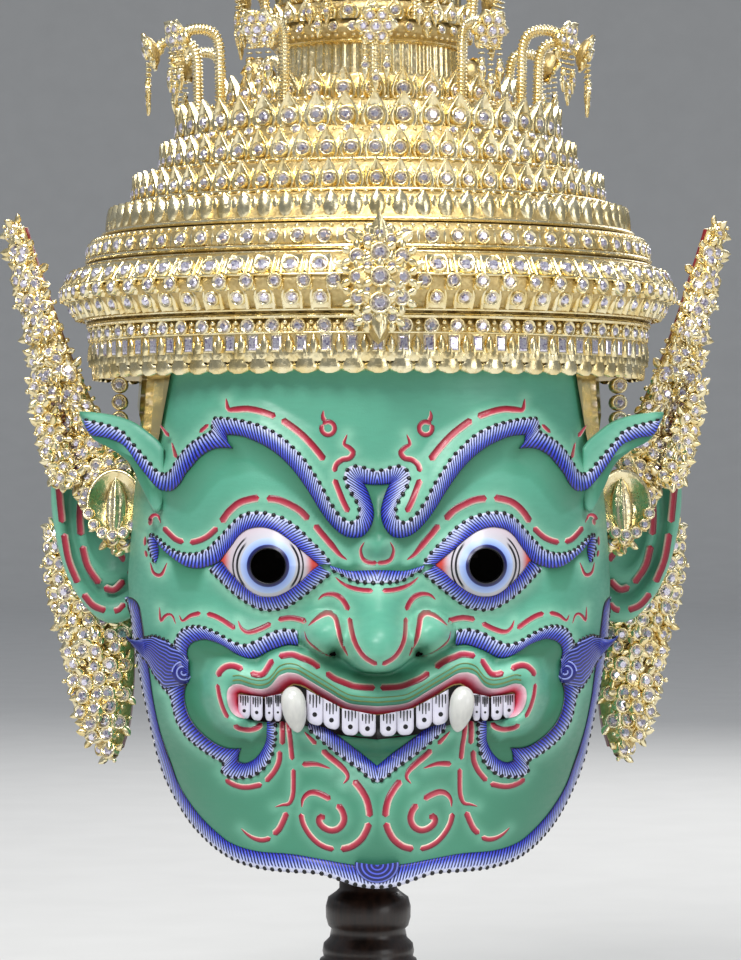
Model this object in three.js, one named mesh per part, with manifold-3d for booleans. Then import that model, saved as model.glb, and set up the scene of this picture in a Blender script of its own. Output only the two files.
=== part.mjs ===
// Khon mask of a green demon: a hollow painted papier-mache head with a gilt tiered crown, on its
// turned wooden stand. Millimetres, +Z up, the face looks along -Y.
// The origin is the centre of the underside of the stand's foot.
import * as THREE from 'three';
import { mergeVertices } from 'three/addons/utils/BufferGeometryUtils.js';
import Module from 'manifold-3d';

const wasm = await Module();
wasm.setup();

// Head
const chinHeight = 99; // chin tip above the floor
const faceHeight = 216; // chin tip to the crown's lower edge
const headHalfWidth = 107; // axis to the widest point beside the cheeks
const faceDepth = 112; // axis to the forehead
const napeDepth = 106; // axis to the back of the head
const shellWall = 4.5;
const sideSetback = 4; // the side of the helmet lies this far inside the jaw fringe
const rimRise = 32; // the side and back rim above the chin tip
const domeHeight = 58; // crown's lower edge to the top of the hidden skull cap
const pupilRadius = 9;
const fitGap = 0.3; // between pieces that touch

// Brow wings and what is set on the face
const wingThickness = 6;
const toothThickness = 3;
const tuskRadius = 5;
const templeStripThickness = 1.8;

// Ears and ear ornaments
const earThickness = 6;
const earRimHeight = 3.5;
const earDepthPlace = 20; // back face of the ear behind the head's axis
const flareThickness = 7;
const pendantThickness = 12;

// Crown
const bandReach = 9; // the crown's lower edge stands this far out from the forehead
const bandInnerRadius = 95;
const bandHeight = 61.5;
const bandBulge = 15;
const crownWall = 6;
const leafRingSetback = 57; // the upright leaf ring stands this far inside the crown's edge
const leafRingHeight = 12;
const leafRingWall = 3;
const flangeGap = 8; // between the leaf ring and the drum's foot flange
const drumRadius = 39;
const drumHeight = 46;
const collarReach = 6;
const spireHeight = 221;
const spireRadius = 36;
const emblemHalfWidth = 15;
const emblemThickness = 5;

// Trembling flowers on springs
const lowerFlowerCount = 12;
const upperFlowerCount = 8;
const springRadius = 2.6;
const flowerRadius = 9;
const flowerThickness = 4;
const pendantDrop = 24;

// Stand
const footRadius = 90;
const footHeight = 24;
const postRadius = 13;
const restRadius = 52;
const restHeight = 26;

// The face is drawn at these sizes. Heights, widths and depths each follow their own size.
const drawn = { height: 216, halfWidth: 107, depth: 112, crownRadius: 121 };
const unit = faceHeight / drawn.height;
const widthUnit = headHalfWidth / drawn.halfWidth;
const depthUnit = faceDepth / drawn.depth;

const clamp01 = (value) => Math.min(1, Math.max(0, value));

function smoothStep(from, to, value) {
  const t = clamp01((value - from) / (to - from));
  return t * t * (3 - 2 * t);
}

function interpolate(pairs, at) {
  if (at <= pairs[0][0]) return pairs[0][1];
  for (let i = 1; i < pairs.length; i += 1) {
    const [x0, y0] = pairs[i - 1];
    const [x1, y1] = pairs[i];
    if (at <= x1) return y0 + ((y1 - y0) * (at - x0)) / (x1 - x0);
  }
  return pairs[pairs.length - 1][1];
}

// A smooth hill that is 1 in the middle and 0 from u = 1 outwards
const hill = (u) => (u >= 1 ? 0 : (1 - u * u) ** 2);

function distanceToLine(line, x, z) {
  let best = Infinity;
  for (let i = 1; i < line.length; i += 1) {
    const [ax, az] = line[i - 1];
    const [bx, bz] = line[i];
    const t = clamp01(((x - ax) * (bx - ax) + (z - az) * (bz - az)) / ((bx - ax) ** 2 + (bz - az) ** 2));
    best = Math.min(best, Math.hypot(x - ax - t * (bx - ax), z - az - t * (bz - az)));
  }
  return best;
}

// Face carving, in units: distance from the middle line and height above the chin
const halfWidthShares = [
  [-9, 0.75], [19, 0.82], [31, 0.86], [51, 0.925], [76, 0.972], [101, 1],
  [126, 1.005], [151, 0.99], [181, 0.963], [221, 0.935],
];
const rimHeights = [
  [0, 0], [0.07, 0.8], [0.163, 3], [0.3, 6], [0.51, 6.5], [0.68, 9], [0.795, 14.7], [0.86, 20.5],
  [0.889, 25], [0.92, 30], [0.94, 32],
];
const fringeShares = [[32, 0.92], [47, 0.935], [75, 0.945], [91, 0.955], [104, 0.964], [118, 0.99]];
const swellings = [
  { x: 58, z: 166, rx: 46, rz: 26, rise: 5 }, // swelling between brow and eye
  { x: 45.5, z: 134, rx: 28, rz: 23, rise: 11 }, // eyeball
  { x: 66, z: 101, rx: 34, rz: 22, rise: 6 }, // cheek
  { x: 71, z: 68, rx: 24, rz: 22, rise: 6 }, // jowl
  { x: 0, z: 32, rx: 40, rz: 26, rise: 6 }, // chin
];
const browLine = [[6, 152], [20, 163], [33, 181], [50, 191], [64, 191], [75, 183], [88, 169], [97, 176]];
const upperLipLine = [[0, 79], [15, 82], [30, 90], [38, 92], [46, 86], [57, 87], [64, 80]];
const lowerLipLine = [[0, 60], [20, 63], [40, 67], [60, 68]];
const ridges = [
  { line: browLine, reach: 14, rise: 6 },
  { line: upperLipLine, reach: 11, rise: 13 },
  { line: lowerLipLine, reach: 8, rise: 7 },
];
const noseRise = [[86, 0], [87.5, 12], [90, 26], [93, 33], [98, 36], [104, 30], [112, 20], [121, 11], [129, 4], [136, 0]];
const noseReach = [[86, 20], [92, 26], [98, 29], [104, 27], [112, 21], [121, 16], [136, 10]];
const noseWing = { x: 21, z: 104.5, rx: 14, rz: 12, rise: 20 };
const noseHollow = { x: 0, z: 108, rx: 22, rz: 18, rise: 13 };

const hillAt = (form, x, z) => form.rise * hill(Math.hypot((x - form.x) / form.rx, (z - form.z) / form.rz));

// How far the carving stands out from the plain head, towards the viewer
function carving(x, height) {
  const u = Math.abs(x) / widthUnit;
  const v = height / unit;
  let rise = 0;
  for (const form of swellings) rise += hillAt(form, u, v);
  for (const ridge of ridges) rise += ridge.rise * hill(distanceToLine(ridge.line, u, v) / ridge.reach);
  const nose = interpolate(noseRise, v) * hill(u / interpolate(noseReach, v));
  return unit * (rise + Math.max(nose, hillAt(noseWing, u, v)));
}

// The hollow side follows the broad swellings and the nose only.
function innerCarving(x, height) {
  const u = Math.abs(x) / widthUnit;
  const v = height / unit;
  let rise = hillAt(noseHollow, u, v);
  for (const form of swellings) rise += 0.8 * hillAt(form, u, v);
  return unit * rise;
}

const faceRoundness = 2.4;
const napeRoundness = 2.1;
const domeShares = [[0, 1], [0.4, 0.95], [0.75, 0.78], [0.93, 0.48], [1, 0.16]];

// A point on the head at an angle from the middle of the face, at a height above the chin
function headPoint(angle, height, grow, carve) {
  const side = Math.sin(angle);
  const share = Math.abs(side);
  const front = Math.cos(angle) > 0;
  const roundness = front ? faceRoundness : napeRoundness;
  const depth = front ? faceDepth : napeDepth;
  const overCrown = Math.max(0, height - faceHeight);
  const shrink = overCrown > 0 ? interpolate(domeShares, overCrown / domeHeight) : 1;
  const fringeShare = interpolate(fringeShares, height / unit);
  const behindFringe = front ? smoothStep(fringeShare, fringeShare + 0.02, share) : 1;
  const lowSide = 1 - smoothStep(112, 128, height / unit);
  const inset = sideSetback * behindFringe * lowSide;
  const plainHalfWidth = headHalfWidth * interpolate(halfWidthShares, height / unit) - inset;
  const halfWidth = (plainHalfWidth + grow) * shrink;
  const along = (1 - share ** roundness) ** (1 / roundness);
  const y = (front ? -1 : 1) * (depth + grow - inset * (front ? 0 : 1)) * shrink * along;
  const x = halfWidth * side;
  const rise = front && shrink === 1 ? carve(plainHalfWidth * side, height) * smoothStep(0, 0.3, along) : 0;
  return new THREE.Vector3(x, y - rise, height + chinHeight);
}

// Height of the lower rim above the chin at an angle from the middle of the face
function rimHeight(angle) {
  if (Math.cos(angle) < 0) return rimRise * unit;
  return Math.min(rimRise, interpolate(rimHeights, Math.abs(Math.sin(angle)))) * unit;
}

function signedVolume(geometry) {
  const position = geometry.getAttribute('position');
  const index = geometry.getIndex();
  const corner = [new THREE.Vector3(), new THREE.Vector3(), new THREE.Vector3()];
  let volume = 0;
  for (let i = 0; i < index.count; i += 3) {
    for (let k = 0; k < 3; k += 1) corner[k].fromBufferAttribute(position, index.getX(i + k));
    volume += corner[0].dot(corner[1].clone().cross(corner[2])) / 6;
  }
  return volume;
}

// Shared corners are merged, flat triangles dropped and the faces turned outwards.
function closed(source) {
  const bare = source.clone();
  bare.deleteAttribute('normal');
  bare.deleteAttribute('uv');
  const merged = mergeVertices(bare, 1e-4);
  const index = merged.getIndex();
  const kept = [];
  for (let i = 0; i < index.count; i += 3) {
    const [a, b, c] = [index.getX(i), index.getX(i + 1), index.getX(i + 2)];
    if (a !== b && b !== c && c !== a) kept.push(a, b, c);
  }
  merged.setIndex(kept);
  if (signedVolume(merged) < 0) {
    const turned = [];
    for (let i = 0; i < kept.length; i += 3) turned.push(kept[i], kept[i + 2], kept[i + 1]);
    merged.setIndex(turned);
  }
  return merged;
}

function solidOf(source) {
  const geometry = closed(source);
  return new wasm.Manifold(new wasm.Mesh({
    numProp: 3,
    vertProperties: new Float32Array(geometry.getAttribute('position').array),
    triVerts: new Uint32Array(geometry.getIndex().array),
  }));
}

function geometryOf(solid) {
  const mesh = solid.getMesh();
  const geometry = new THREE.BufferGeometry();
  geometry.setAttribute('position', new THREE.BufferAttribute(new Float32Array(mesh.vertProperties), 3));
  geometry.setIndex(Array.from(mesh.triVerts));
  return geometry;
}

function joined(first, ...others) {
  return geometryOf(others.reduce((whole, other) => whole.add(solidOf(other)), solidOf(first)));
}

function mirrored(source) {
  const geometry = source.clone();
  geometry.scale(-1, 1, 1);
  return closed(geometry);
}

// Rings of points, each going once round, closed at both ends by a fan
function ringsGeometry(rings, firstCentre, lastCentre) {
  const count = rings[0].length;
  const points = rings.flat().concat([firstCentre, lastCentre]);
  const first = rings.length * count;
  const last = first + 1;
  const faces = [];
  for (let row = 0; row + 1 < rings.length; row += 1) {
    for (let i = 0; i < count; i += 1) {
      const a = row * count + i;
      const b = row * count + ((i + 1) % count);
      // The dividing diagonal leans the other way on the left, so that both halves mirror each other.
      if (points[a].x + points[b].x < 0) faces.push(a, b, a + count, b, b + count, a + count);
      else faces.push(a, b, b + count, a, b + count, a + count);
    }
  }
  for (let i = 0; i < count; i += 1) {
    const next = (i + 1) % count;
    const top = (rings.length - 1) * count;
    faces.push(next, i, first, top + i, top + next, last);
  }
  const geometry = new THREE.BufferGeometry().setFromPoints(points);
  geometry.setIndex(faces);
  return closed(geometry);
}

const meanPoint = (points) => points.reduce((sum, p) => sum.add(p), new THREE.Vector3()).divideScalar(points.length);
const loft = (rings) => ringsGeometry(rings, meanPoint(rings[0]), meanPoint(rings[rings.length - 1]));

// A turned piece from [radius, height] pairs that start and end on the axis or close on themselves
function turned(profile, segments) {
  const points = profile.map(([radius, height]) => new THREE.Vector2(radius, height));
  return new THREE.LatheGeometry(points, segments).rotateX(Math.PI / 2).rotateZ(Math.PI / 2);
}

// An outline of [x, height above the chin] pairs, extruded from one depth to another
function plate(outline, frontY, backY, holes = []) {
  const shape = new THREE.Shape(outline.map(([x, height]) => new THREE.Vector2(x, height)));
  // A hole's outline runs the other way round from the plate's.
  for (const hole of holes) {
    shape.holes.push(new THREE.Path(hole.map(([x, height]) => new THREE.Vector2(x, height)).reverse()));
  }
  const geometry = new THREE.ExtrudeGeometry(shape, { depth: backY - frontY, bevelEnabled: false });
  return geometry.rotateX(Math.PI / 2).translate(0, backY, chinHeight);
}

const inUnits = (outline) => outline.map(([x, height]) => [x * widthUnit, height * unit]);

// The head as a closed body, grown outwards; start is how far its lower end is carried down
function headBody({ frontColumns, backColumns, faceRows, grow, carve, start = 0, domeTop = domeHeight }) {
  const angles = [];
  // Columns stand closer together towards the nose.
  for (let i = 0; i <= frontColumns; i += 1) {
    const side = (2 * i) / frontColumns - 1;
    angles.push(Math.sign(side) * Math.abs(side) ** 1.2 * Math.PI * 0.5);
  }
  for (let i = 1; i < backColumns; i += 1) angles.push((0.5 + i / backColumns) * Math.PI);
  const rings = [];
  for (let row = 0; row <= faceRows; row += 1) {
    rings.push(angles.map((angle) => {
      const low = rimHeight(angle);
      return headPoint(angle, low + ((faceHeight - low) * row) / faceRows, grow, carve);
    }));
  }
  for (const point of rings[0]) point.z -= start;
  for (const [share] of domeShares.slice(1)) {
    rings.push(angles.map((angle) => headPoint(angle, faceHeight + share * domeTop, grow, carve)));
  }
  const bottom = new THREE.Vector3(0, 0, rings[0][Math.round(frontColumns / 2)].z);
  const top = rings[rings.length - 1][0].z + Math.max(0, grow);
  return ringsGeometry(rings, bottom, new THREE.Vector3(0, 0, top));
}

const faceGrid = { frontColumns: 36, backColumns: 8, faceRows: 22, carve: carving };
const head = (grow) => solidOf(headBody({ ...faceGrid, grow, start: grow }));
const headPlain = head(0);
const headCleared = head(fitGap);

// Depth of the carved face's surface
function faceY(x, height) {
  const share = clamp01(Math.abs(x) / (headHalfWidth * interpolate(halfWidthShares, height / unit)));
  return -faceDepth * (1 - share ** faceRoundness) ** (1 / faceRoundness) - carving(x, height);
}

const wingOutline = inUnits([
  [82, 160], [82, 190], [93, 187.5], [99, 192], [104, 195], [112, 197.5], [122, 197], [117, 187],
  [109, 183], [102, 177], [98, 168], [94, 161], [90, 155],
]);

// The brow's free tip: a plate that leaves the temple and leans forward past the side of the head
function browWing() {
  const rootX = 92 * widthUnit;
  const front = faceY(rootX, 168 * unit) - 2;
  const geometry = plate(wingOutline, front, front + wingThickness);
  const position = geometry.getAttribute('position');
  for (let i = 0; i < position.count; i += 1) {
    position.setY(i, position.getY(i) + 0.45 * (position.getX(i) - rootX));
  }
  return geometry;
}

function headShell() {
  const inner = headBody({
    frontColumns: 14, backColumns: 6, faceRows: 9, carve: innerCarving,
    grow: -shellWall, start: 40, domeTop: domeHeight - shellWall,
  });
  const eyeX = 45.5 * widthUnit;
  const eyeHeight = 134.3 * unit;
  const pupil = new THREE.CylinderGeometry(pupilRadius, pupilRadius, faceDepth, 12);
  pupil.translate(eyeX, -faceDepth, chinHeight + eyeHeight);
  const body = headPlain.add(solidOf(browWing())).add(solidOf(mirrored(browWing())));
  const hollow = body.subtract(solidOf(inner));
  return geometryOf(hollow.subtract(solidOf(pupil)).subtract(solidOf(mirrored(pupil))));
}

// What lies on the face: an outline, this thick, following the carved surface
function onFace(outline, thickness, backY = -fitGap) {
  const block = solidOf(plate(outline, -faceDepth * 1.6, backY));
  return geometryOf(block.intersect(head(thickness + fitGap)).subtract(headCleared));
}

// Two square teeth with round lower corners, in one plate
function toothPair(x0, x1, topInner, topOuter, bottomInner, bottomOuter) {
  const middle = (x0 + x1) / 2;
  const corner = (x1 - x0) / 8;
  const notch = (bottomInner + bottomOuter) / 2 + corner;
  return onFace(inUnits([
    [x0, topInner], [x0, bottomInner + corner], [x0 + corner, bottomInner], [middle - corner, notch - corner],
    [middle, notch], [middle + corner, notch - corner], [x1 - corner, bottomOuter],
    [x1, bottomOuter + corner], [x1, topOuter],
  ]), toothThickness);
}

const toothPairs = {
  front_teeth: toothPair(0.8, 15, 71, 72.6, 63.6, 64.4),
  middle_teeth: toothPair(15.8, 29.4, 73.4, 78.6, 65.6, 68.6),
  side_teeth: toothPair(40.6, 47, 79, 78, 69.4, 69.6),
  corner_teeth: toothPair(47.8, 57.6, 78, 78.6, 69.6, 70.2),
};

// A curved boar's tusk that hangs over the lower lip
function tusk() {
  const rings = [];
  const stations = 5;
  for (let i = 0; i < stations; i += 1) {
    const t = i / (stations - 1);
    const x = (35.2 - 0.6 * t) * widthUnit;
    const height = (83 - 18.2 * t) * unit;
    const radius = tuskRadius * Math.sqrt(1 - t ** 2.2) + 0.35;
    const y = faceY(x, 74 * unit) - 3 - 2.5 * Math.sin(Math.PI * t);
    const ring = [];
    for (let k = 0; k < 6; k += 1) {
      const angle = (k / 6) * 2 * Math.PI;
      ring.push(new THREE.Vector3(x + radius * Math.cos(angle), y + radius * Math.sin(angle), chinHeight + height));
    }
    rings.push(ring);
  }
  return geometryOf(solidOf(loft(rings)).subtract(headCleared));
}

const earOutline = [
  [96, 172], [112, 178], [130, 181], [140, 178], [142.5, 165], [141, 148], [136.5, 130],
  [129.5, 116.5], [120.5, 107.5], [111.5, 106.5], [103, 112], [96, 124],
];

// The ear: a plate with a raised outer rim round its hollow
function ear() {
  const middle = [118, 145];
  const hollow = earOutline.map(([x, h]) => [middle[0] + 0.76 * (x - middle[0]), middle[1] + 0.8 * (h - middle[1])]);
  const front = earDepthPlace - earThickness;
  const back = plate(inUnits(earOutline), front, earDepthPlace);
  const rim = plate(inUnits(earOutline), front - earRimHeight, front + 0.5, [inUnits(hollow)]);
  return geometryOf(solidOf(back).add(solidOf(rim)).subtract(headCleared));
}

const along = (points) => new THREE.CatmullRomCurve3(points.map(([x, y, z]) => new THREE.Vector3(x, y, z)));

// A leaf-edged ornament between an inner and an outer edge curve, thicker along its middle
// What stands beside the head follows its side below and the crown's edge above.
function besideHead(point) {
  const sideways = THREE.MathUtils.lerp(widthUnit, bandRadius / drawn.crownRadius, smoothStep(165, 225, point.z));
  return new THREE.Vector3(point.x * sideways, point.y * depthUnit, point.z * unit);
}

function leafBlade(innerEdge, outerEdge, thickness, stations, leafReach) {
  const inner = along(innerEdge);
  const outer = along(outerEdge);
  const rings = [];
  for (let i = 0; i < stations; i += 1) {
    const t = i / (stations - 1);
    const a = besideHead(inner.getPoint(t));
    const b = besideHead(outer.getPoint(t));
    const across = b.clone().sub(a).setZ(0).normalize();
    const normal = new THREE.Vector3(-across.y, across.x, 0).normalize();
    const leaf = i % 2 === 1 ? leafReach : 0;
    b.addScaledVector(across, leaf);
    const half = thickness / 2;
    const middle = a.clone().lerp(b, 0.5);
    const ring = [
      a.clone().addScaledVector(normal, -half * 0.6), middle.clone().addScaledVector(normal, -half),
      b.clone().addScaledVector(normal, -half * 0.5), b.clone().addScaledVector(normal, half * 0.5),
      middle.clone().addScaledVector(normal, half), a.clone().addScaledVector(normal, half * 0.6),
    ];
    rings.push(ring.map((p) => p.setZ(p.z + chinHeight)));
  }
  return geometryOf(solidOf(loft(rings)).subtract(headCleared));
}

// Edge points are in units: distance from the middle, depth, height above the chin.
const flare = () => leafBlade(
  [[106, -12, 142], [103, -9, 152], [103, -6, 165], [108, -3, 182], [119, 1, 197], [130.5, 6, 219], [140, 11, 242],
    [147, 15, 262], [155, 18, 284]],
  [[114, -8, 142], [121, -3, 152], [127, 1, 160], [136, 6, 178], [144, 11, 196], [148.5, 15, 214], [153, 19, 240],
    [158, 22, 264], [160, 24, 285]],
  flareThickness, 11, 2.6,
);
const pendant = () => leafBlade(
  [[112, 28, 48], [108, 28, 60], [106, 28, 80], [106, 28, 100], [107, 29, 125], [112, 30, 146]],
  [[121, 33, 47], [129, 36, 60], [134, 38, 79], [139, 40, 102], [145, 41, 125], [145, 42, 146]],
  pendantThickness, 9, 2.2,
);

const stripTop = drawn.height - 0.4;
const templeStrip = () => onFace(inUnits([[87, stripTop], [106.5, stripTop], [98, 186], [93, 184]]),
  templeStripThickness, -20);

// Crown, with heights counted from its own lower edge
const crownHeight = chinHeight + faceHeight;
const bandRadius = faceDepth + bandReach;
const leafRingRadius = bandRadius - leafRingSetback;
const bandProfile = [
  [0, 0], [1, 3.5], [3, 7], [3.5, 19], [1.5, 21.5], [5, 23.5], [bandBulge - 2, 29], [bandBulge, 35.5],
  [bandBulge - 1.5, 42], [7, 49], [4.5, 51.5], [6, 54], [3, 59],
];

function bandRing(grow, innerRadius) {
  const outer = bandProfile.map(([out, height]) => [bandRadius + out + grow, height]);
  outer.push([bandRadius - 3 + grow, bandHeight]);
  return turned([[innerRadius, 0], ...outer, [innerRadius, bandHeight], [innerRadius, 0]], 28)
    .translate(0, 0, crownHeight);
}

const crownBand = () => geometryOf(solidOf(bandRing(0, bandInnerRadius)).subtract(headCleared));

const tiers = [
  { setback: 4, rise: 14 }, { setback: 15.5, rise: 13.5 }, { setback: 29, rise: 14 }, { setback: 36, rise: 13.5 },
];
const tierFoot = bandHeight + fitGap;
const tierTop = tiers.reduce((height, tier) => height + tier.rise, tierFoot);
const petalBend = 1.1;

// Alternate edges stand in and out, as the rows of petals do
function petalled(geometry, segments) {
  const position = geometry.getAttribute('position');
  for (let i = 0; i < position.count; i += 1) {
    const [x, y] = [position.getX(i), position.getY(i)];
    const radius = Math.hypot(x, y);
    if (radius > leafRingRadius + 1) {
      const step = Math.round((Math.atan2(y, x) / (2 * Math.PI)) * segments);
      const grown = (radius + (step % 2 === 0 ? petalBend : -petalBend)) / radius;
      position.setXY(i, x * grown, y * grown);
    }
  }
  return geometry;
}

function crownTiers() {
  const segments = 28;
  const profile = [[0, tierTop - crownWall], [bandRadius - tiers[3].setback - crownWall, tierTop - crownWall]];
  profile.push([bandRadius - tiers[0].setback - 2 * crownWall, tierFoot]);
  let height = tierFoot;
  for (const { setback, rise } of tiers) {
    const radius = bandRadius - setback;
    profile.push([radius, height], [radius, height + rise * 0.7]);
    height += rise;
  }
  profile.push([leafRingRadius, tierTop], [leafRingRadius + 1, tierTop + leafRingHeight]);
  profile.push([leafRingRadius - leafRingWall, tierTop + leafRingHeight], [leafRingRadius - leafRingWall, tierTop + 1]);
  profile.push([0, tierTop + 1]);
  return petalled(turned(profile, segments), segments);
}

const drumFoot = tierTop + 1 + fitGap;
const collarRadius = drumRadius + collarReach;
const flangeRadius = leafRingRadius - leafRingWall - flangeGap;

function crownDrum() {
  const top = drumFoot + drumHeight;
  return turned([
    [0, drumFoot], [flangeRadius, drumFoot], [flangeRadius - 1, drumFoot + 6], [drumRadius + 2, drumFoot + 11],
    [drumRadius, drumFoot + 13], [drumRadius, top - 19], [collarRadius - 3, top - 17], [collarRadius + 1, top - 12],
    [collarRadius - 3, top - 8], [collarRadius, top - 4], [collarRadius - 2, top], [0, top],
  ], 16);
}

const spireFoot = drumFoot + drumHeight + fitGap;

// Shares of the spire's radius and height: petal rows, a small drum and collar, a gourd, rings, a point
const spireShares = [
  [1.1, 0], [1.12, 0.05], [0.98, 0.095], [0.75, 0.1], [0.73, 0.145], [0.85, 0.16], [0.87, 0.185], [0.7, 0.205],
  [0.75, 0.215], [0.62, 0.28], [0.52, 0.29], [0.55, 0.33], [0.42, 0.42], [0.27, 0.5], [0.36, 0.52], [0.36, 0.54],
  [0.22, 0.55], [0.3, 0.57], [0.2, 0.6], [0.13, 0.74], [0.08, 0.88], [0.13, 0.91], [0.1, 0.95], [0.02, 1],
];
const crownSpire = () => turned([
  [0, spireFoot],
  ...spireShares.map(([radius, height]) => [radius * spireRadius, spireFoot + height * spireHeight]),
  [0, spireFoot + spireHeight],
], 10);

const emblemOutline = [
  [0, 3], [0.4, 7], [0.55, 12], [0.6, 18], [0.85, 24], [1, 31], [0.95, 40], [0.65, 47], [0.4, 54], [0.15, 59],
];

// The cluster of flowers over the forehead, on the crown band
function frontEmblem() {
  const half = emblemOutline.map(([share, height]) => [share * emblemHalfWidth, height]);
  const left = half.slice(1).reverse().map(([x, height]) => [-x, height]);
  const block = plate([...half, ...left], -bandRadius * 1.4, -bandRadius * 0.5).translate(0, 0, faceHeight);
  const outer = solidOf(bandRing(emblemThickness + fitGap, bandInnerRadius));
  return geometryOf(solidOf(block).intersect(outer).subtract(solidOf(bandRing(fitGap, bandInnerRadius - 5))));
}

// A flower on a coil spring, with drops hanging under it. Path points are [out from the axis, height].
function tremblingFlower(path) {
  const curve = along(path.map(([out, height]) => [0, -out, height]));
  const sides = 4;
  const ring = new THREE.Shape();
  for (let i = 0; i < sides; i += 1) {
    const angle = (i / sides) * 2 * Math.PI;
    const corner = [springRadius * Math.cos(angle), springRadius * Math.sin(angle)];
    if (i === 0) ring.moveTo(...corner);
    else ring.lineTo(...corner);
  }
  const spring = new THREE.ExtrudeGeometry(ring, { steps: 4, bevelEnabled: false, extrudePath: curve });
  const [out, height] = path[path.length - 1];
  const petals = 8;
  const bloom = new THREE.LatheGeometry([
    new THREE.Vector2(0, -flowerThickness * 0.5), new THREE.Vector2(flowerRadius, 0),
    new THREE.Vector2(0, flowerThickness),
  ], petals);
  const position = bloom.getAttribute('position');
  for (let i = 0; i < position.count; i += 1) {
    const radius = Math.hypot(position.getX(i), position.getZ(i));
    const step = Math.round((Math.atan2(position.getX(i), position.getZ(i)) / (2 * Math.PI)) * petals);
    const share = radius > flowerRadius * 0.7 && step % 2 !== 0 ? 0.74 : 1;
    position.setX(i, position.getX(i) * share);
    position.setZ(i, position.getZ(i) * share);
  }
  bloom.rotateX(Math.PI).translate(0, -out, height);
  const drop = turned([
    [0, -pendantDrop], [3, 5 - pendantDrop], [1, 10 - pendantDrop], [1, 0], [0, 0],
  ], 3).translate(0, -out - 0.5, height - 2);
  return joined(spring, bloom, drop);
}

const lowerRoot = bandRadius - tiers[3].setback - 9;
const lowerFlower = tremblingFlower([
  [lowerRoot, tierTop + fitGap], [lowerRoot + 1, tierTop + 14], [lowerRoot + 7, tierTop + 26],
  [lowerRoot + 16, tierTop + 33], [lowerRoot + 21.5, tierTop + 29],
]);
const collarTop = drumFoot + drumHeight - 4;
const upperFlower = tremblingFlower([
  [collarRadius + fitGap + springRadius + 1.5, collarTop - 5], [collarRadius + 5.5, collarTop + 6],
  [collarRadius + 9, collarTop + 15], [collarRadius + 16, collarTop + 13],
]);

// Stand
const footSteps = [[0, 0], [0, 8], [-4, 12], [-10, 14], [-12, 19], [-30, 24]];
function standFoot() {
  const rim = footSteps.map(([inwards, height]) => [footRadius + inwards, (height * footHeight) / 24]);
  return turned([[0, 0], ...rim, [0, footHeight]], 28);
}

const postFoot = footHeight + fitGap;
const innerDomeTop = chinHeight + faceHeight + domeHeight - shellWall;
const restTop = innerDomeTop - fitGap - 0.2;
const restFoot = restTop - restHeight;
const collarHeight = chinHeight - 16; // top of the turned collar under the chin

function standPost() {
  return turned([
    [0, postFoot], [postRadius + 32, postFoot], [postRadius + 30, postFoot + 5], [postRadius + 17, postFoot + 11],
    [postRadius + 10, collarHeight - 37], [postRadius + 8, collarHeight - 29], [postRadius + 6.5, collarHeight - 20],
    [postRadius + 3.5, collarHeight - 15], [postRadius + 5.7, collarHeight - 13], [postRadius + 6, collarHeight - 7],
    [postRadius + 5.7, collarHeight - 1], [postRadius, collarHeight + 2], [postRadius, restFoot - fitGap],
    [0, restFoot - fitGap],
  ], 14);
}

// The round head of the stand that carries the mask from inside its skull cap
const standRest = () => turned([
  [0, restFoot], [postRadius + 4, restFoot], [restRadius, restFoot + restHeight * 0.4],
  [restRadius - 3, restFoot + restHeight * 0.6], [restRadius * 0.55, restFoot + restHeight * 0.93],
  [restRadius * 0.3, restTop], [0, restTop],
], 14);

const finish = (color, roughness, metalness) => ({ color, roughness, metalness });
const paint = finish(0x55a07d, 0.5, 0);
const gold = finish(0xd9b455, 0.3, 1);
const enamel = finish(0xe1dceb, 0.25, 0);
const wood = finish(0x20130d, 0.45, 0);

function piece(name, geometry, look) {
  const mesh = new THREE.Mesh(geometry, new THREE.MeshStandardMaterial(look));
  mesh.name = name;
  return mesh;
}

// The left and right pieces are one form and its mirror image.
function pair(name, geometry, look) {
  return [piece(`${name}_left`, mirrored(geometry), look), piece(`${name}_right`, geometry, look)];
}

// Copies of one piece, evenly spaced round the crown
function roundCrown(name, geometry, count, turn) {
  const ring = new THREE.Group();
  for (let i = 0; i < count; i += 1) {
    const copy = piece(`${name}_${String(i + 1).padStart(2, '0')}`, geometry.clone(), gold);
    copy.rotation.z = ((i + turn) / count) * 2 * Math.PI;
    ring.add(copy);
  }
  return ring;
}

const mask = new THREE.Group();
mask.add(piece('head_shell', headShell(), paint));
mask.add(...pair('ear', ear(), paint));
for (const [name, geometry] of Object.entries(toothPairs)) mask.add(...pair(name, geometry, enamel));
mask.add(...pair('tusk', tusk(), enamel));
mask.add(...pair('temple_strip', templeStrip(), gold));
mask.add(...pair('ear_flare', flare(), gold));
mask.add(...pair('ear_pendant', pendant(), gold));
mask.add(piece('crown_band', crownBand(), gold));
mask.add(piece('crown_front_emblem', frontEmblem(), gold));

const crown = new THREE.Group();
crown.position.z = crownHeight;
crown.add(piece('crown_tiers', closed(crownTiers()), gold));
crown.add(piece('crown_drum', closed(crownDrum()), gold));
crown.add(piece('crown_spire', closed(crownSpire()), gold));
crown.add(roundCrown('lower_flower', lowerFlower, lowerFlowerCount, 0));
crown.add(roundCrown('upper_flower', upperFlower, upperFlowerCount, 0.5));
mask.add(crown);

const stand = new THREE.Group();
stand.add(piece('stand_foot', closed(standFoot()), wood));
stand.add(piece('stand_post', closed(standPost()), wood));
stand.add(piece('stand_rest', closed(standRest()), wood));

const model = new THREE.Group();
model.add(stand, mask);

export default model;
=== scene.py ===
"""Paints, gilds and jewels a crowned khon mask of a green demon around its solids.

All shapes are worked out in millimetres in the model's own frame: +Z up, the face looks along -Y.
"""

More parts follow.
